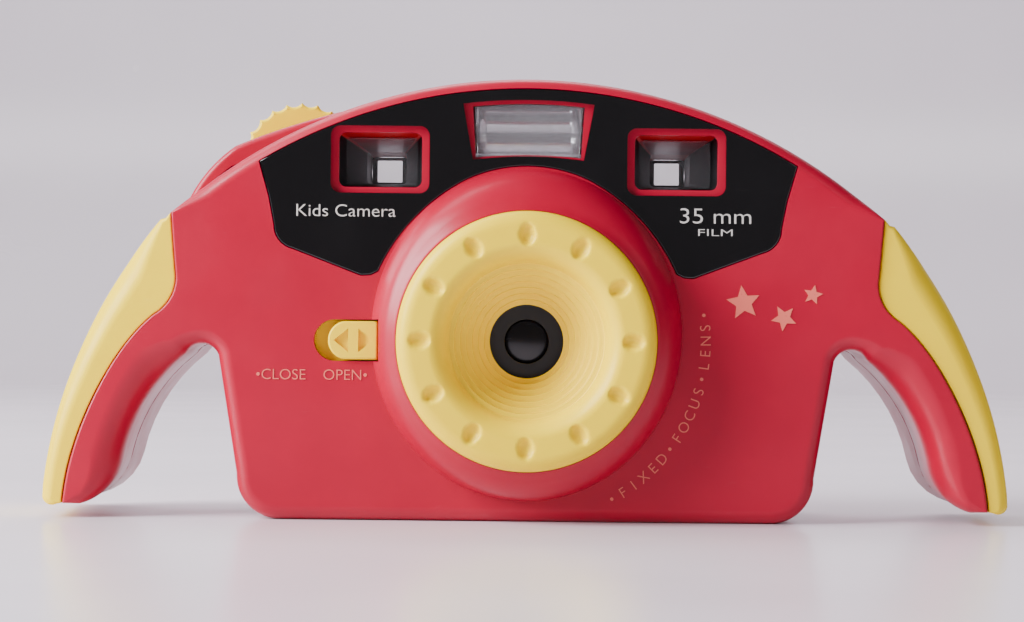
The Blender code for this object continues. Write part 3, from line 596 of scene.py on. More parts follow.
@dataclass(frozen=True)
class PolishedPlastic:
    """High-gloss plastic with fine hairlines, dust and fingerprints."""

    name: str
    colour: Triple
    roughness: float = 0.07
    coat: float = 1.0

    def material(self) -> bpy.types.Material:
        """Makes the material."""
        recipe = Recipe(self.name)
        smear = recipe.noise(12.0, 4.0).between(0.45, 0.72)
        hair = recipe.noise(0.9, 3.0, (0.06, 1.0, 1.4)).between(0.66, 0.78)
        dust = recipe.noise(0.8, 1.0).between(0.83, 0.88)
        colour = recipe.mix(smear * 0.3, self.colour, shade(self.colour, 1.9))
        colour = recipe.mix(dust * 0.22, colour, (0.32, 0.3, 0.31))
        recipe.shader_sockets(
            Base_Color=colour,
            Roughness=smear * 0.06 + hair * 0.16 + dust * 0.3 + self.roughness,
            IOR=1.5,
            Coat_Weight=self.coat,
            Coat_Roughness=0.04,
        )
        recipe.relief(recipe.noise(18.0, 1.0) + hair * 0.03, 0.05, 0.5)
        return recipe.material


@dataclass(frozen=True)
class ClearPlastic:
    """Clear moulded plastic, with ribs where it spreads the flash."""

    name: str
    tint: Triple = (0.97, 0.98, 0.98)
    rib_pitch: float = 0.0
    rib_depth: float = 0.2
    roughness: float = 0.03
    cover: float = 0.1

    def material(self) -> bpy.types.Material:
        """Makes the material."""
        recipe = Recipe(self.name)
        haze = recipe.noise(6.0, 4.0).between(0.5, 0.75)
        recipe.shader_sockets(
            Base_Color=recipe.mix(haze * 0.4, self.tint, shade(self.tint, 0.92)),
            Roughness=haze * 0.05 + self.roughness,
            Alpha=haze * 0.04 + self.cover,
            IOR=1.49,
            Coat_Weight=0.6,
            Coat_Roughness=0.03,
        )
        height = recipe.noise(14.0, 1.0) * 0.08
        if self.rib_pitch:
            height = height + (recipe.axis("Z") * (math.tau / (self.rib_pitch * MM))).wave().size()
        recipe.relief(height, self.rib_depth if self.rib_pitch else 0.05, 0.7)
        return recipe.material


@dataclass(frozen=True)
class BareMetal:
    """Metal with rolling lines and tarnish."""

    name: str
    colour: Triple
    roughness: float = 0.25
    lines: Triple = (0.1, 1.0, 1.0)

    def material(self) -> bpy.types.Material:
        """Makes the material."""
        recipe = Recipe(self.name)
        line = recipe.noise(0.5, 3.0, self.lines)
        stain = recipe.noise(5.0, 4.0).between(0.48, 0.7)
        recipe.shader_sockets(
            Base_Color=recipe.mix(stain * 0.5, self.colour, shade(self.colour, 0.72)),
            Metallic=1.0 - stain * 0.1,
            Roughness=line * 0.14 + stain * 0.12 + (self.roughness - 0.07),
        )
        recipe.relief(line, 0.02, 0.4)
        return recipe.material


@dataclass(frozen=True)
class PrintedInk:
    """Pad-printed ink: slightly uneven and broken where it has worn."""

    name: str
    colour: Triple
    ground: Triple

    def material(self) -> bpy.types.Material:
        """Makes the material."""
        recipe = Recipe(self.name)
        worn = recipe.noise(0.5, 4.0).between(0.6, 0.8)
        cover = recipe.noise(2.5, 3.0)
        recipe.shader_sockets(
            Base_Color=recipe.mix(worn * 0.45 + cover * 0.12, self.colour, self.ground),
            Roughness=cover * 0.15 + 0.34,
            IOR=1.47,
        )
        recipe.relief(cover, 0.02, 0.3)
        return recipe.material


@dataclass(frozen=True)
class BandedWrap:
    """A printed wrap or label in two colours, split across one axis."""

    name: str
    main: Triple
    band: Triple
    axis: str
    split: float

    def material(self) -> bpy.types.Material:
        """Makes the material."""
        recipe = Recipe(self.name)
        side = (recipe.axis(self.axis) * 1000.0 > self.split) * 1.0
        wear = recipe.noise(1.2, 4.0).between(0.62, 0.8)
        colour = recipe.mix(side, self.main, self.band)
        recipe.shader_sockets(
            Base_Color=recipe.mix(wear * 0.4, colour, (0.5, 0.5, 0.5)),
            Metallic=0.3 + wear * 0.3,
            Roughness=recipe.noise(4.0, 3.0) * 0.2 + 0.22,
        )
        recipe.relief(recipe.noise(6.0, 2.0), 0.05, 0.4)
        return recipe.material


@dataclass(frozen=True)
class FinderTunnel:
    """Matt black tunnel walls under a red roof."""

    name: str
    wall: Triple
    roof: Triple

    def material(self) -> bpy.types.Material:
        """Makes the material."""
        recipe = Recipe(self.name)
        normal = recipe.node("ShaderNodeNewGeometry").outputs["Normal"]
        rise = recipe.value(recipe.node("ShaderNodeSeparateXYZ", {}, {0: normal}), "Z")
        grain = recipe.noise(0.5, 3.0)
        recipe.shader_sockets(
            Base_Color=recipe.mix((rise * -1.0).between(0.3, 0.6), self.wall, self.roof),
            Roughness=grain * 0.15 + 0.38,
        )
        recipe.relief(grain, 0.03, 0.5)
        return recipe.material


@dataclass(frozen=True)
class CircuitBoard:
    """Green board with copper tracks under the lacquer."""

    name: str

    def material(self) -> bpy.types.Material:
        """Makes the material."""
        recipe = Recipe(self.name)
        inputs = {"Vector": recipe.place, "Scale": 420.0}
        cells = recipe.value(recipe.node("ShaderNodeTexVoronoi", {"feature": "DISTANCE_TO_EDGE"}, inputs))
        track = 1.0 - cells.between(0.06, 0.12)
        fleck = recipe.noise(0.8, 2.0).between(0.68, 0.75)
        board = recipe.mix(track, (0.012, 0.11, 0.035), (0.05, 0.26, 0.09))
        recipe.shader_sockets(
            Base_Color=recipe.mix(fleck, board, (0.6, 0.58, 0.5)),
            Roughness=track * 0.1 + 0.32,
            Metallic=fleck * 0.8,
        )
        recipe.relief(track, 0.04, 0.8)
        return recipe.material


RED = (0.42, 0.0, 0.026)
YELLOW = (1.0, 0.70, 0.0)
SALMON = (0.80, 0.17, 0.12)


@dataclass
class Palette:
    """Every finish of the camera, made once and shared by the pieces."""

    recipes: dict[str, object] = field(
        default_factory=lambda: {
            "red_shell": MouldedPlastic(
                "crimson_moulded", RED, 0.36, 0.06, glow=0.04, coat=0.08, gloss=0.36
            ),
            "yellow_trim": MouldedPlastic(
                "yellow_moulded", YELLOW, 0.42, 0.03, glow=0.06, coat=0.03, gloss=0.28
            ),
            "black_panel": PolishedPlastic("black_polished", (0.0035, 0.003, 0.0035)),
            "black_plastic": MouldedPlastic("black_moulded", (0.012, 0.012, 0.013), 0.42, 0.2, coat=0.1),
            "clear_plastic": ClearPlastic("clear_moulded", (0.25, 0.26, 0.27)),
            "flash_clear": ClearPlastic(
                "flash_ribbed", (0.3, 0.29, 0.31), rib_pitch=3.4, rib_depth=0.25, cover=0.24
            ),
            # The lens glass gets an opaque near-black gloss instead of clear plastic: painted shade for the
            # dark camera inside seen through it.
            "lens_glass": PolishedPlastic("lens_dark", (0.004, 0.003, 0.004), 0.22, 0.15),
            "lamp_red": MouldedPlastic("lamp_red", (0.62, 0.02, 0.015), 0.2, 0.1, glow=0.3, coat=0.8),
            "dial_white": MouldedPlastic("dial_white", (0.76, 0.75, 0.71), 0.42, 0.05),
            "reflector": BareMetal("reflector_chrome", (0.88, 0.88, 0.9), 0.12),
            "spring_steel": BareMetal("spring_steel", (0.56, 0.55, 0.53), 0.3),
            "cartridge": BandedWrap("cartridge_can", (0.05, 0.22, 0.5), (0.72, 0.7, 0.66), "Z", 40.0),
            "cell_wrap": BandedWrap("cell_wrap", (0.02, 0.02, 0.022), (0.62, 0.33, 0.1), "X", 8.0),
            "board": CircuitBoard("flash_board_green"),
            "tunnel": FinderTunnel("finder_tunnel", (0.004, 0.004, 0.005), (0.6, 0.004, 0.012)),
            "salmon_ink": PrintedInk("salmon_ink", SALMON, RED),
            "grey_ink": PrintedInk("grey_ink", (0.62, 0.60, 0.56), (0.01, 0.01, 0.01)),
        }
    )
    made: dict[str, bpy.types.Material] = field(default_factory=dict)

    def get(self, key: str) -> bpy.types.Material:
        """The material of a finish, made when it is first used."""
        if key not in self.made:
            self.made[key] = self.recipes[key].material()
        return self.made[key]

    def dress(self, piece: bpy.types.Object, key: str) -> None:
        """Gives every material slot of a piece the finish."""
        piece.data.materials.clear()
        piece.data.materials.append(self.get(key))


class Assembly:
    """A group of pieces that share a palette and a way of being put in the frame."""

    palette: Palette = Palette()

    def finish(
        self,
        piece: bpy.types.Object,
        body: str,
        slot: Slot,
        key: Optional[str] = None,
        stands_for: tuple[str, ...] = (),
    ) -> None:
        """Dresses a piece and fixes it to its body.

        Args:
            piece: the finished mesh object.
            body: the body that it rides on.
            slot: its slot in the record.
            key: its finish, if it isn't the slot's own.
            stands_for: the CAD nodes that it replaces.
        """
        self.palette.dress(piece, key or slot.value)
        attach(piece, body)
        if stands_for:
            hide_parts(*stands_for)
        LOG.info("%s rides on %s, %d faces", piece.name, body, len(piece.data.polygons))


# ---------------------------------------------------------------- the case


@dataclass
class FrontShell(Assembly):
    """The red front half, with its softly rounded handles, panel pocket and lens dome."""

    wall_end: float = SPLIT_Y
    face_round: float = 2.7
    handle_round: float = 7.5
    seam_round: float = 0.4
    pocket_depth: float = 1.4
    finder_half: Point = (7.8, 5.15)
    battery_hole: tuple[Point, Point] = ((-34.3, 3.1), (28.7, 18.0))
    rewind_place: Point = (39.5, 20.0)
    rewind_radius: float = 8.1

    def outline(self) -> tuple[list[Point], list[float]]:
        """The case in front view without the grips.

        Returns:
            The outline, and how far the front edge is rounded at each of its points.
        """
        seam = grip_seam()
        inner = chain(
            arc((85.8, 2.5), (80.2, 5.2), (76.8, 11.0), 12),
            arc((76.8, 11.0), (72.2, 22.3), (64.3, 31.0), 18),
            arc((64.3, 31.0), (60.8, 32.9), (58.0, 30.8), 12),
            arc((54.4, 8.6), (51.9, 2.3), (46.2, 0.0), 12),
        )
        side = chain(seam, inner)
        top = crown_arc(SHOULDER[0], TOP_Z, 80)
        points = chain([p for p in top if p[0] >= 0], side, mirrored(side), [p for p in top if p[0] < 0])
        return points, [self.round_at(point, seam) for point in points]

    def mound_line(self) -> list[Point]:
        """The top line of the raised left shoulder, with its dip."""
        line = chain(
            arc(MOUND_FOOT, (-62.4, 66.0), (-56.6, 72.1), 12),
            arc((-56.6, 72.1), (-43.6, 77.3), MOUND_END, 16),
        )
        return [(x, z - mound_drop(x)) for x, z in line]

    def round_at(self, point: Point, seam: list[Point]) -> float:
        """How far the front edge is rounded at a point of the outline."""
        place = (abs(point[0]), point[1])
        gap = min(math.dist(place, other) for other in seam)
        if gap < 0.3 and place[0] > SHOULDER[0] - 1.2 and place[1] < SHOULDER[1] - 0.5:
            return self.seam_round
        if place[0] > 62.5 and place[1] < 33:
            blend = min(1.0, (place[0] - 62.5) / 6)
            wide = min(self.handle_round, 0.7 * gap)
            return max(0.5, self.face_round + (wide - self.face_round) * blend)
        if place[1] > SHOULDER[1] - 0.6 and place[0] > 60:
            share = min(1.0, (SHOULDER[0] - place[0]) / 5.0)
            return self.seam_round + (self.face_round - self.seam_round) * share
        return self.face_round

    def build(self) -> None:
        """Builds the shell and its dome."""
        points, rounds = self.outline()
        block = Shape().prism(points, 0.0, self.wall_end, rounds, 0.3, steps=9)
        shell = block.each_vert(leaning).to_object("case_front")
        throat = [(0, -30), (16.2, -30), (16.2, 22), (0, 22)]
        (x0, y0), (x1, y1) = self.battery_hole
        battery = [(x0, y0), (x1, y0), (x1, y1), (x0, y1)]
        rewind = round_outline(self.rewind_place, self.rewind_radius, 64)
        carve(
            shell,
            Shape().prism(panel_outline(16), -3.0, self.pocket_depth).to_object("cut_pocket"),
            Shape().prism(flash_window(12), -1.0, 22.0).to_object("cut_flash"),
            *(finder_cut(f"cut_finder_{name}", side, self.finder_half, 1.4) for name, side in SIDES),
            Shape().turned(throat, (0, LENS_Z)).to_object("cut_lens"),
            Shape().prism(slider_opening(), -1.0, 2.7).to_object("cut_slider"),
            Shape().prism(self.hollow(), 2.4, 30.0).to_object("cut_hollow"),
            Shape().sunk(battery, -1.0, 4.0).to_object("cut_battery"),
            Shape().sunk(rewind, -1.0, 3.5).to_object("cut_rewind"),
        )
        smoothed(shell, 34)
        self.finish(shell, "case", Slot.RED_SHELL, stands_for=("front_shell",))
        self.build_dome()
        self.build_mound()

    def hollow(self) -> list[Point]:
        """The outline of the space inside the body of the case."""
        right = chain(
            [p for p in crown_arc(56.0, TOP_Z - 2.2, 40) if p[0] >= 0],
            [(57.0, 33.5), (55.4, 30.6), (52.2, 9.2), (49.6, 4.2), (45.8, 2.4)],
        )
        return chain(right, mirrored(right))

    def build_dome(self) -> None:
        """Builds the soft dome that carries the ring, with its hollow throat."""
        steps, levels = 128, 9
        rings: list[list[Triple]] = []
        for i in range(levels + 1):
            share = i / levels
            curve = math.sin(share * math.pi / 2)
            half_x = 29.2 + (24.9 - 29.2) * (share**1.7)
            half_z = 31.2 + (24.9 - 31.2) * (share**1.7)
            centre = 35.2 + (LENS_Z - 35.2) * share
            level = 0.4 - 8.4 * (0.45 * share + 0.55 * curve)
            rings.append(oval((half_x, half_z), level, centre, steps))
        throat = ((24.6, -8.35), (24.15, -8.45), (24.1, -8.2), (24.1, -2.0), (16.3, -2.0), (16.3, 1.0))
        rings += [oval((radius, radius), level, LENS_Z, steps) for radius, level in throat]
        shape = Shape().loft(rings)
        caps = [face for face in shape.mesh.faces if len(face.verts) > 4]
        bmesh.ops.delete(shape.mesh, geom=caps, context="FACES_ONLY")
        rims = [edge for edge in shape.mesh.edges if edge.is_boundary]
        bmesh.ops.bridge_loops(shape.mesh, edges=rims)
        dome = shape.to_object("lens_dome")
        carve(dome, Shape().prism(slider_opening(), -9.0, 2.7).to_object("cut_slider"))
        smoothed(dome, 40)
        self.finish(dome, "case", Slot.RED_SHELL)

    def build_mound(self) -> None:
        """Builds the raised left shoulder over the wheel, behind the face."""
        line = self.mound_line()
        low = [(x, z - 5.0) for x, z in reversed(line[1:-1])]
        block = Shape().prism(chain(line, low), 12.5, self.wall_end, 1.2, 0.0, steps=5)
        mound = block.to_object("case_mound")
        smoothed(mound)
        self.finish(mound, "case", Slot.RED_SHELL)


def mound_drop(x: float) -> float:
    """How far the shoulder over the wheel dips below a plain arc, to show more of the wheel."""
    share = (x - MOUND_FOOT[0]) / (MOUND_END[0] - MOUND_FOOT[0])
    return MOUND_DIP * math.sin(math.pi * share) if 0 < share < 1 else 0.0


def leaning(place: Vector) -> Vector:
    """Where a point of a handle goes when the handle's front draws in towards its tip."""
    reach = min(1.0, max(0.0, (abs(place.x) - 68.0) / 20.0))
    front = min(1.0, max(0.0, 1 - place.y / 15.0))
    place.x -= math.copysign(2.7 * reach * reach * (3 - 2 * reach) * front**1.7, place.x)
    return place


def panel_outline(steps: int) -> list[Point]:
    """The black panel's outline, which is the same as its pocket's."""
    right = chain(
        [(48.7, 60.6)],
        arc((47.7, 55.4), (46.6, 52.3), (44.1, 50.8), steps // 2),
        [(31.2, 45.9), (29.4, 46.0)],
        arc((27.9, 46.7), (20.9, 57.1), (11.5, 64.1), steps),
    )
    top = crown_arc(50.6, 81.4, 4 * steps)
    bottom = arc((11.5, 64.1), (0.0, 66.7), (-11.5, 64.1), steps)
    return chain(top, right, bottom, mirrored(right))


def flash_opening(steps: int) -> list[Point]:
    """The opening for the flash, wider at the top."""
    return chain(crown_arc(12.3, 79.2, steps), arc((10.4, 67.9), (0, 68.6), (-10.4, 67.9), steps))


def flash_window(steps: int) -> list[Point]:
    """The red ledge's own opening round the flash lens, inside the panel's."""
    return chain(crown_arc(10.5, 78.6, steps), arc((9.9, 68.4), (0, 69.0), (-9.9, 68.4), steps))


def slider_opening() -> list[Point]:
    """The pocket that the slider runs in."""
    return chain(arc((-35.9, 37.7), (-39.9, 33.8), (-35.9, 29.9), 24), [(-27.5, 29.9), (-27.5, 37.7)])


def finder_box(side: int, half: Point, radius: float) -> list[Point]:
    """A round-cornered outline centred on one finder."""
    x = FINDER_X * side
    return rounded_box(x - half[0], FINDER_Z - half[1], x + half[0], FINDER_Z + half[1], radius)


def finder_cut(name: str, side: int, half: Point, radius: float) -> bpy.types.Object:
    """A cutter for one finder window, from before the face to behind it."""
    return Shape().prism(finder_box(side, half, radius), -3.0, 22.0).to_object(name)


@dataclass
class Grips(Assembly):
    """The two yellow inserts that wrap the outsides of the handles."""

    front: float = 0.6
    back: float = 35.4
    outer_round: float = 5.0
    seam_round: float = 0.35
    groove: float = 0.16

    def build(self) -> None:
        """Builds both grips."""
        seam = [point for point in grip_seam() if point != SHOULDER]
        inner = [(x + self.groove, z) for x, z in seam]
        outline = chain(
            [(68.0, 56.4)],
            arc((69.0, 56.2), (82.3, 38.6), (92.85, 6.0), 40),
            arc((92.93, 4.4), (92.2, 2.5), (90.4, 2.5), 6),
            inner[::-1],
        )
        rounds = []
        for point in outline:
            gap = min(math.dist(point, other) for other in inner)
            rounds.append(self.seam_round if gap < 0.3 else max(0.5, min(self.outer_round, 0.5 * gap)))
        for name, side in SIDES:
            points = outline if side > 0 else mirrored(outline)
            sizes = rounds if side > 0 else rounds[::-1]
            block = Shape().prism(points, self.front, self.back, sizes, sizes, steps=9)
            piece = block.each_vert(leaning).to_object(f"handle_grip_{name}")
            smoothed(piece, 40)
            self.finish(piece, "case", Slot.YELLOW_TRIM, stands_for=(f"grip_{name}",))


@dataclass
class Fascia(Assembly):
    """The gloss black panel round the finders and the flash."""

    front: float = 0.15
    back: float = 1.1
    gap: float = 0.14
    finder_half: Point = (9.25, 6.3)

    def build(self) -> None:
        """Builds the panel."""
        points = inset(panel_outline(16), self.gap)
        panel = Shape().prism(points, self.front, self.back, 0.22, 0.0, steps=3).to_object("gloss_panel")
        carve(
            panel,
            Shape().prism(flash_opening(12), -1.0, 4.0).to_object("cut_flash"),
            *(finder_cut(f"cut_{name}", side, self.finder_half, 1.8) for name, side in SIDES),
        )
        smoothed(panel)
        self.finish(panel, "case", Slot.BLACK_PANEL, stands_for=("front_panel",))


# ---------------------------------------------------------------- the lens


@dataclass
class LensRing(Assembly):
    """The big yellow ring with twelve dimples, rolling in to a stepped cone."""

    skirt_radius: float = 23.7
    roll_radius: float = 24.0
    throat_radius: float = 6.95
    crown: float = -12.0
    dimples: int = 12
    dimple_at: float = 19.6
    dimple_long: float = 2.15
    dimple_wide: float = 1.45
    dimple_depth: float = 1.15
    cone_steps: int = 7

    def profile(self) -> list[Point]:
        """The ring's section as (radius, y) points."""
        turns = [math.radians(degrees) for degrees in range(0, 91, 9)]
        roll = [(self.roll_radius - 2.8 * (1 - math.cos(a)), -9.5 - 2.5 * math.sin(a)) for a in turns]
        count = 26
        crown = []
        for i in range(1, count + 1):
            radius = 21.2 + (15.2 - 21.2) * i / count
            crown.append((radius, self.crown + 1.9 * max(0.0, (18.2 - radius) / 3.0) ** 2.1))
        skirt = [(self.skirt_radius, -0.3), (23.8, -7.9), (self.roll_radius, -8.3)]
        points = skirt + roll + crown
        start, end = (14.5, -9.3), (self.throat_radius, 2.2)
        for i in range(self.cone_steps):
            near, far = i / self.cone_steps, (i + 1) / self.cone_steps
            radius = start[0] + (end[0] - start[0]) * near
            inner = start[0] + (end[0] - start[0]) * far
            level = start[1] + (end[1] - start[1]) * far
            points += [(radius, level - 1.2), (radius - 0.05, level - 0.15), (radius - 0.2, level)]
            points += [(inner + 0.15, level), (inner, level + 0.08)]
        back = [(9.2, 3.2), (15.7, -7.0), (18.0, -9.6), (21.6, -9.6), (21.6, -0.3)]
        return points + [(self.throat_radius, 3.2)] + back

    def pressed(self, place: Vector) -> Vector:
        """Where a point of the ring's front goes when the dimples are pressed in."""
        dx, dz = place.x, place.z - LENS_Z
        radius = math.hypot(dx, dz)
        if place.y > self.crown + 1.5 or radius < 15.5:
            return place
        pitch = math.tau / self.dimples
        turn = math.atan2(dx, dz)
        off = (turn + pitch / 2) % pitch - pitch / 2
        across = off * radius / self.dimple_wide
        along = (radius - self.dimple_at) / self.dimple_long
        reach = math.hypot(across, along)
        if reach < 1.0:
            place.y += self.dimple_depth * min(1.0, (1 - reach) / 0.38) ** 0.8 * (1 - 0.25 * reach)
        return place

    def build(self) -> None:
        """Builds the ring."""
        shape = Shape().turned(self.profile(), (0, LENS_Z), 288)
        ring = shape.each_vert(self.pressed).to_object("dimpled_ring")
        smoothed(ring, 48)
        self.finish(ring, "case", Slot.YELLOW_TRIM, stands_for=("lens_ring",))


@dataclass
class AdvanceWheel(Assembly):
    """The yellow thumb wheel with fine scallops, its shaft and its small pinion."""

    radius: float = 11.9
    scallops: int = 24
    scallop_depth: float = 0.75
    front: float = 28.0
    back: float = 33.5
    teeth: int = 12

    def build(self) -> None:
        """Builds the wheel."""
        x, z = WHEEL_PLACE
        count = self.scallops * 8
        points = []
        for i in range(count):
            share = (i % 8) / 8
            radius = self.radius - self.scallop_depth * (1 - (2 * share - 1) ** 2) ** 0.8
            angle = math.tau * i / count
            points.append((x + radius * math.sin(angle), z + radius * math.cos(angle)))
        shape = Shape().prism(points, self.front, self.back, 0.7, 0.7, steps=3)
        shaft = [(0, 20.2), (1.5, 20.2), (1.5, 24.9), (3.3, 24.9)]
        shaft += [(3.3, 27.0), (2.6, 27.2), (2.6, 28.2), (0, 28.2)]
        hub = [(0, 33.3), (2.6, 33.3), (2.6, 34.0), (1.5, 34.2), (1.5, 34.5), (0, 34.5)]
        for profile in (shaft, hub):
            shape.turned(profile, (x, z), 48)
        for i in range(self.teeth):
            angle = math.tau * i / self.teeth
            out = Vector((math.sin(angle), math.cos(angle)))
            side = Vector((math.cos(angle), -math.sin(angle)))
            steps = ((2.8, 0.4), (4.9, 0.3), (4.9, -0.3), (2.8, -0.4))
            corners = [out * reach + side * half for reach, half in steps]
            shape.prism([(x + c.x, z + c.y) for c in corners], 25.1, 26.8)
        wheel = shape.to_object("thumb_wheel")
        smoothed(wheel, 40)
        self.finish(wheel, "wheel", Slot.YELLOW_TRIM, stands_for=("advance_wheel",))


@dataclass
class SmallFittings(Assembly):
    """The cover slider, the bright ends of the flash, and the finders' stops and roofs."""

    stop_half: Point = (2.5, 2.2)
    plate_half: Point = (3.5, 2.8)
    roof_wall: float = 0.14
    arrow_half: float = 2.2
    arrow_floor: float = 0.15

    def build_slider(self) -> None:
        """Builds the slider with its two pressed arrows, its floor plate and its peg."""
        outline = chain(arc((-34.2, 37.4), (-37.2, 33.8), (-34.2, 30.2), 24), [(-27.9, 30.2), (-27.9, 37.4)])
        button = Shape().prism(outline, -0.9, 2.9, 0.45, 0.0, steps=4).to_object("slider_button")
        cutters = []
        for tip, back in ((-36.1, -33.4), (-28.8, -31.5)):
            corners = [(tip, 33.8), (back, 33.8 + self.arrow_half), (back, 33.8 - self.arrow_half)]
            cutters.append(Shape().prism(corners, -3.0, self.arrow_floor).to_object(f"cut_arrow_{tip}"))
        carve(button, *cutters)
        smoothed(button, 30)
        self.finish(button, "slider", Slot.YELLOW_TRIM, stands_for=("cover_slider",))
        plate = Shape().prism(rounded_box(-40.6, 28.6, -26.2, 39.0, 1.0), 2.8, 3.3, 0.1, 0.1, steps=2)
        plate.prism([(-31.2, 29.4), (-28.6, 29.4), (-20.0, 25.6), (-21.6, 26.0)], 2.85, 3.25)
        plate.turned([(0, 2.9), (0.8, 2.9), (0.8, 4.5), (0.7, 4.6), (0, 4.6)], (-20.7, 26.7), 24)
        floor = plate.to_object("slider_floor")
        smoothed(floor)
        self.finish(floor, "slider", Slot.YELLOW_TRIM)

    def build_flash_ends(self) -> None:
        """Builds the bright rolled ends of the flash reflector behind the clear lens."""
        for name, side in SIDES:
            rings: list[list[Triple]] = []
            for z, lean in ((69.3, 0.0), (71.4, 0.5), (73.5, 0.7), (75.6, 0.5), (77.7, 0.0)):
                rings.append([
                    (side * (9.75 + 0.02 * (z - 73.5)), 2.65, z),
                    (side * (9.0 + lean * 0.2), 3.2 + lean * 0.5, z),
                    (side * 8.1, 5.2 + lean, z),
                    (side * 8.5, 5.6 + lean, z),
                    (side * 10.0, 3.4, z),
                ])
            piece = Shape().loft(rings).to_object(f"reflector_end_{name}")
            smoothed(piece, 60)
            self.finish(piece, "case", Slot.REFLECTOR)

    def build_finder(self, name: str, side: int) -> None:
        """Builds the square stop at the back of one finder and the red roof inside it."""
        stop = Shape().prism(finder_box(side, self.plate_half, 0.5), 33.0, 33.5)
        piece = stop.to_object(f"finder_stop_{name}")
        hole = Shape().prism(finder_box(side, self.stop_half, 0.25), 30.0, 36.0)
        carve(piece, hole.to_object("cut_stop"))
        smoothed(piece)
        self.finish(piece, "case", Slot.BLACK_PLASTIC)
        rings: list[list[Triple]] = []
        for y, half, rise in ((7.8, 6.2, 4.45), (14.0, 5.1, 3.85), (21.6, 3.7, 3.1)):
            low = FINDER_Z + rise
            corners = ((-half, low), (half, low), (half, low + self.roof_wall), (-half, low + self.roof_wall))
            rings.append([(FINDER_X * side + x, y, z) for x, z in corners])
        roof = Shape().loft(rings).to_object(f"finder_roof_{name}")
        smoothed(roof)
        self.finish(roof, "case", Slot.RED_SHELL)

    def build(self) -> None:
        """Builds the fittings."""
        self.build_slider()
        self.build_flash_ends()
        for name, side in SIDES:
            self.build_finder(name, side)


# ---------------------------------------------------------------- lettering


@dataclass
class Printing(Assembly):
    """Generic pad-printed labels on the case and the panel."""

    thickness: float = 0.05
    letter_height: float = 2.0
    ring_radius: float = 33.7
    ring_start: float = -61.0
    ring_sweep: float = 70.0
    panel_front: float = 0.15

    def letters(self, text: str, height: float, width: float = 1.0) -> bmesh.types.BMesh:
        """Flat letters in the x-z plane, centred on the origin, in millimetres.

        Args:
            text: what they say.
            height: the height of a capital.
            width: how much they are widened.

        Returns:
            The letters as a bmesh.
        """
        curve = bpy.data.curves.new("letters", "FONT")
        curve.body, curve.size = text, height / 0.7
        curve.align_x, curve.align_y = "CENTER", "CENTER"
        curve.extrude, curve.resolution_u, curve.offset = self.thickness, 6, -0.012 * height
        holder = linked("letters", curve)
        graph = bpy.context.evaluated_depsgraph_get()
        data = bpy.data.meshes.new_from_object(holder.evaluated_get(graph))
        bpy.data.objects.remove(holder)
        shape = bmesh.new()
        shape.from_mesh(data)
        bmesh.ops.scale(shape, vec=(width, 1, 1), verts=shape.verts)
        upright = Matrix.Rotation(math.radians(90), 3, "X")
        bmesh.ops.rotate(shape, cent=(0, 0, 0), matrix=upright, verts=shape.verts)
        return shape

    def place(self, name: str, runs: list[tuple[bmesh.types.BMesh, Matrix]], key: str, slot: Slot) -> None:
        """Joins runs of letters into one piece.

        Args:
            name: the piece's name.
            runs: the letters, each with its place in millimetres.
            key: the ink.
            slot: the slot of what it is printed on.
        """
        whole = Shape()
        for letters, matrix in runs:
            bmesh.ops.transform(letters, matrix=matrix, verts=letters.verts)
            data = bpy.data.meshes.new("run")
            letters.to_mesh(data)
            letters.free()
            whole.mesh.from_mesh(data)
            bpy.data.meshes.remove(data)
        self.finish(whole.to_object(name), "case", slot, key)

    def build(self) -> None:
        """Builds every label."""
        for name, text, x in (("label_close", "•CLOSE", -46.0), ("label_open", "OPEN•", -33.9)):
            run = (self.letters(text, self.letter_height), self.at(x, 27.2))
            self.place(name, [run], "salmon_ink", Slot.RED_SHELL)
        self.build_ring_words("•FIXED•FOCUS•LENS•")
        y = self.panel_front - self.thickness
        size = [
            (self.letters("35 mm", 2.9, 1.2), self.at(35.2, 57.6, y)),
            (self.letters("FILM", 1.3, 1.9), self.at(35.2, 54.6, y)),
        ]
        self.place("label_film_size", size, "grey_ink", Slot.BLACK_PANEL)
        kids = (self.letters("Kids Camera", 2.3, 1.1), self.at(-34.2, 58.0, y))
        self.place("label_kids", [kids], "grey_ink", Slot.BLACK_PANEL)
        self.build_stars()

    def build_ring_words(self, words: str) -> None:
        """Builds the words that run round the lower right of the dome."""
        runs = []
        for index, letter in enumerate(words):
            angle = self.ring_start + self.ring_sweep * index / (len(words) - 1)
            a = math.radians(angle)
            x, z = self.ring_radius * math.cos(a), LENS_Z + self.ring_radius * math.sin(a)
            turn = Matrix.Rotation(-math.radians(angle + 90), 4, "Y")
            runs.append((self.letters(letter, self.letter_height, 0.95), self.at(x, z) @ turn))
        self.place("label_fixed_focus", runs, "salmon_ink", Slot.RED_SHELL)

    def at(self, x: float, z: float, y: Optional[float] = None) -> Matrix:
        """A place on the face, or on the panel with its own y."""
        return Matrix.Translation((x, -self.thickness if y is None else y, z))

    def build_stars(self) -> None:
        """Builds three printed stars beside the ring."""
        whole = Shape()
        for x, z, size, turn in ((40.6, 41.6, 3.3, 8), (48.2, 38.8, 2.5, 30), (53.6, 43.2, 1.9, -12)):
            points = []
            for i in range(10):
                angle = math.radians(90 + 36 * i + turn)
                radius = size if i % 2 == 0 else size * 0.46
                points.append((x + radius * math.cos(angle), z + radius * math.sin(angle)))
            whole.prism(points, -self.thickness * 2, 0.02)
        self.finish(whole.to_object("label_stars"), "case", Slot.RED_SHELL, "salmon_ink")


# ---------------------------------------------------------------- carried-over nodes


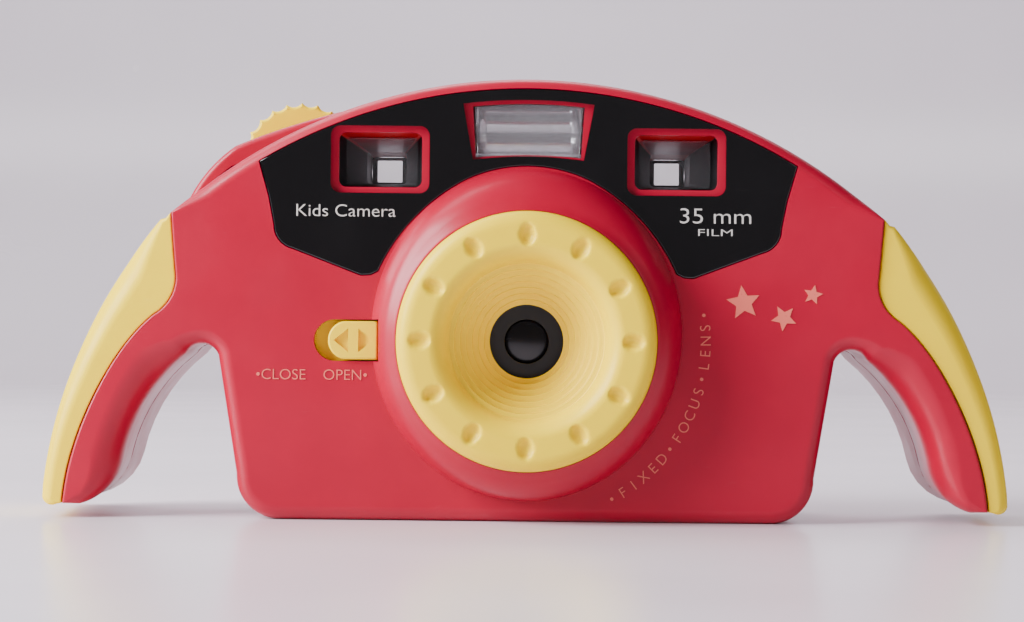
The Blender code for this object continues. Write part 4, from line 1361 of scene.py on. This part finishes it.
@dataclass
class RefinedNodes(Assembly):
    """CAD nodes whose shape is right, copied with their edges softened and smoothly shaded."""

    softened: dict[str, tuple[float, float]] = field(
        default_factory=lambda: {
            "rear_shell": (0.0, 50.0),
            "film_door": (0.22, 40.0),
            "door_latch": (0.2, 40.0),
            "battery_door": (0.2, 40.0),
            "eyecup_left": (0.25, 40.0),
            "eyecup_right": (0.25, 40.0),
            "rewind_knob": (0.15, 40.0),
            "rewind_crank": (0.15, 40.0),
            "shutter_button": (0.2, 40.0),
            "finder_frame_left": (0.0, 30.0),
            "finder_frame_right": (0.0, 30.0),
            "finder_lens_left": (0.15, 30.0),
            "finder_lens_right": (0.15, 30.0),
            "eyepiece_left": (0.1, 30.0),
            "eyepiece_right": (0.1, 30.0),
            "flash_reflector": (0.0, 40.0),
            "flash_lens": (0.15, 40.0),
            "flash_tube": (0.0, 60.0),
            "ready_lamp": (0.1, 50.0),
            "lens_element": (0.0, 50.0),
            "lens_barrel": (0.08, 40.0),
            "film_cartridge": (0.15, 40.0),
            "take_up_spool": (0.08, 40.0),
            "sprocket": (0.06, 40.0),
            "counter_window": (0.08, 40.0),
            "battery": (0.15, 40.0),
        }
    )
    finishes: dict[str, str] = field(
        default_factory=lambda: {
            "flash_lens": "flash_clear",
            # The lens element takes the near-black finish, which is painted shade for the dark inside behind
            # the clear glass.
            "lens_element": "lens_glass",
            "finder_frame_left": "tunnel",
            "finder_frame_right": "tunnel",
        }
    )
    rebuilt: tuple[str, ...] = (
        "front_shell",
        "cover_slider",
        "advance_wheel",
        "lens_ring",
        "front_panel",
        "grip_left",
        "grip_right",
    )

    def refine(self, node: str, edge: float, sharp: float) -> bpy.types.Object:
        """Copies one node with soft edges.

        Args:
            node: the CAD node.
            edge: the width of the softening, in millimetres.
            sharp: edges above this angle stay sharp, in degrees.

        Returns:
            The new piece.
        """
        shape = bmesh.new()
        shape.from_mesh(frame["nodes"][node].data)
        bmesh.ops.remove_doubles(shape, verts=shape.verts, dist=2e-6)
        if node == "rear_shell":
            self.lower_mound(shape)
        bmesh.ops.dissolve_limit(
            shape,
            angle_limit=math.radians(0.6),
            verts=shape.verts,
            edges=shape.edges,
            use_dissolve_boundaries=False,
        )
        if edge:
            corners = [e for e in shape.edges if e.is_manifold and e.calc_face_angle(0.0) > math.radians(38)]
            bmesh.ops.bevel(
                shape,
                geom=corners,
                offset=edge * MM,
                affect="EDGES",
                segments=2,
                profile=0.5,
                material=-1,
                clamp_overlap=True,
                loop_slide=True,
            )
        data = bpy.data.meshes.new(node + "_finished")
        shape.to_mesh(data)
        shape.free()
        piece = linked(node + "_finished", data)
        smoothed(piece, sharp)
        return piece

    def lower_mound(self, shape: bmesh.types.BMesh) -> None:
        """Lets the rear shell's left shoulder follow the front one's dip."""
        (foot_x, foot_z), (end_x, end_z) = MOUND_FOOT, MOUND_END
        skin = 1.5  # only what stands this close under the shoulder's chord moves
        for vert in shape.verts:
            x, z = vert.co.x / MM, vert.co.z / MM
            chord = foot_z + (x - foot_x) * (end_z - foot_z) / (end_x - foot_x)
            if x < end_x and z > chord - skin:
                vert.co.z -= mound_drop(x) * MM

    def build(self) -> None:
        """Refines the listed nodes and dresses all the others."""
        slots = {part["node"]: part["material_slot"] for part in frame["record"]["subparts"]}
        held = frame["record"]["behaviour"]["bodies"]
        bodies = {node: body for body, nodes in held.items() for node in nodes}
        for node, (edge, sharp) in self.softened.items():
            piece = self.refine(node, edge, sharp)
            slot = Slot(slots[node])
            self.finish(piece, bodies[node], slot, self.finishes.get(node), (node,))
        replaced = set(self.softened) | set(self.rebuilt)
        for node, holder in frame["nodes"].items():
            if node in replaced:
                continue
            key = self.finishes.get(node, slots[node])
            for place in holder.material_slots:
                place.material = self.palette.get(key)
            if not holder.material_slots:
                holder.data.materials.append(self.palette.get(key))


# ---------------------------------------------------------------- the studio


@dataclass
class Studio:
    """A plain pale floor that sweeps up behind the camera, soft light, and the view."""

    view_distance: float = 0.464
    view_height: float = 0.034
    lens_length: float = 84.4
    shift: Point = (-0.0142, 0.0293)
    roll: float = -0.6
    floor_colour: Triple = (0.84, 0.77, 0.84)
    sweep_start: float = 1.2
    sweep_radius: float = 0.4
    world_light: float = 0.13
    world_seen: float = 0.75

    def floor(self) -> None:
        """Builds the floor and its sweep."""
        edge, bend = self.sweep_start, self.sweep_radius
        turns = [math.radians(degrees) for degrees in range(6, 91, 6)]
        run = [(-2.4, 0.0), (edge, 0.0)]
        run += [(edge + bend * math.sin(a), bend * (1 - math.cos(a))) for a in turns]
        run.append((edge + bend, 2.2))
        shape = bmesh.new()
        verts = [shape.verts.new((-2.0, y, z)) for y, z in run]
        edges = [shape.edges.new(pair) for pair in zip(verts, verts[1:])]
        grown = bmesh.ops.extrude_edge_only(shape, edges=edges)["geom"]
        moved = [item for item in grown if isinstance(item, bmesh.types.BMVert)]
        bmesh.ops.translate(shape, vec=(4.0, 0, 0), verts=moved)
        bmesh.ops.recalc_face_normals(shape, faces=shape.faces)
        data = bpy.data.meshes.new("studio_floor")
        shape.to_mesh(data)
        shape.free()
        data.shade_smooth()
        floor = linked("studio_floor", data)
        recipe = Recipe("studio_paper")
        cloud = recipe.noise(90.0, 2.0)
        recipe.shader_sockets(
            Base_Color=recipe.mix(cloud, shade(self.floor_colour, 0.97), shade(self.floor_colour, 1.03)),
            Roughness=cloud * 0.1 + 0.2,
        )
        data.materials.append(recipe.material)

    def lamp(
        self,
        name: str,
        place: Triple,
        size: Point,
        power: float,
        colour: Triple,
        aim_at: Triple = (0.0, 0.0, 0.04),
    ) -> None:
        """Adds one soft light.

        Args:
            name: its name.
            place: where it hangs, in metres.
            size: its width and height in metres.
            power: its power in watts.
            colour: its colour.
            aim_at: the point that it faces.
        """
        light = bpy.data.lights.new(name, "AREA")
        light.shape, light.size, light.size_y = "RECTANGLE", size[0], size[1]
        light.energy, light.color = power, colour
        holder = linked(name, light)
        holder.location = place
        aim = Vector(aim_at) - Vector(place)
        holder.rotation_mode = "QUATERNION"
        holder.rotation_quaternion = aim.to_track_quat("-Z", "Y")

    def world(self) -> None:
        """Sets a dim world that looks brighter to the view than it lights."""
        world = bpy.data.worlds.new("studio")
        world.use_nodes = True
        nodes, links = world.node_tree.nodes, world.node_tree.links
        background = nodes["Background"]
        background.inputs["Color"].default_value = (0.93, 0.9, 0.95, 1.0)
        paths = nodes.new("ShaderNodeLightPath")
        strength = nodes.new("ShaderNodeMapRange")
        strength.inputs["To Min"].default_value = self.world_light
        strength.inputs["To Max"].default_value = self.world_seen
        links.new(paths.outputs["Is Camera Ray"], strength.inputs["Value"])
        links.new(strength.outputs[0], background.inputs["Strength"])
        bpy.context.scene.world = world

    def view(self) -> None:
        """Sets the view on the front of the case."""
        eye = bpy.data.cameras.new("view")
        eye.lens, eye.sensor_width = self.lens_length, 36.0
        eye.shift_x, eye.shift_y = self.shift
        eye.clip_start, eye.clip_end = 0.01, 20.0
        holder = linked("view", eye)
        holder.location = (0.0, -self.view_distance, self.view_height)
        holder.rotation_euler = (math.radians(90), math.radians(self.roll), 0.0)
        bpy.context.scene.camera = holder

    def build(self) -> None:
        """Builds the floor, the lights and the view."""
        self.floor()
        self.lamp("window", (-0.9, -0.4, 0.55), (0.6, 0.8), 38.0, (0.97, 0.97, 1.0))
        self.lamp("fill", (0.75, -0.75, 0.4), (0.7, 0.7), 1.3, (1.0, 0.93, 0.9))
        self.lamp("back", (-0.3, 0.4, 0.95), (1.1, 0.5), 8.0, (1.0, 0.96, 0.98))
        wall = (0.0, 1.6, 0.35)
        self.lamp("wall_wash", (0.0, 0.95, 1.5), (2.2, 0.3), 14.0, (1.0, 0.97, 0.99), wall)
        self.world()
        self.view()


def main() -> None:
    """Builds every group in order."""
    logging.basicConfig(level=logging.INFO, format="%(name)s: %(message)s")
    Studio().build()
    groups = (FrontShell, Grips, Fascia, LensRing, AdvanceWheel, SmallFittings, Printing, RefinedNodes)
    for group in groups:
        group().build()
        LOG.info("built %s", group.__name__)
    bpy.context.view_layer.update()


if __name__ == "__main__":
    main()
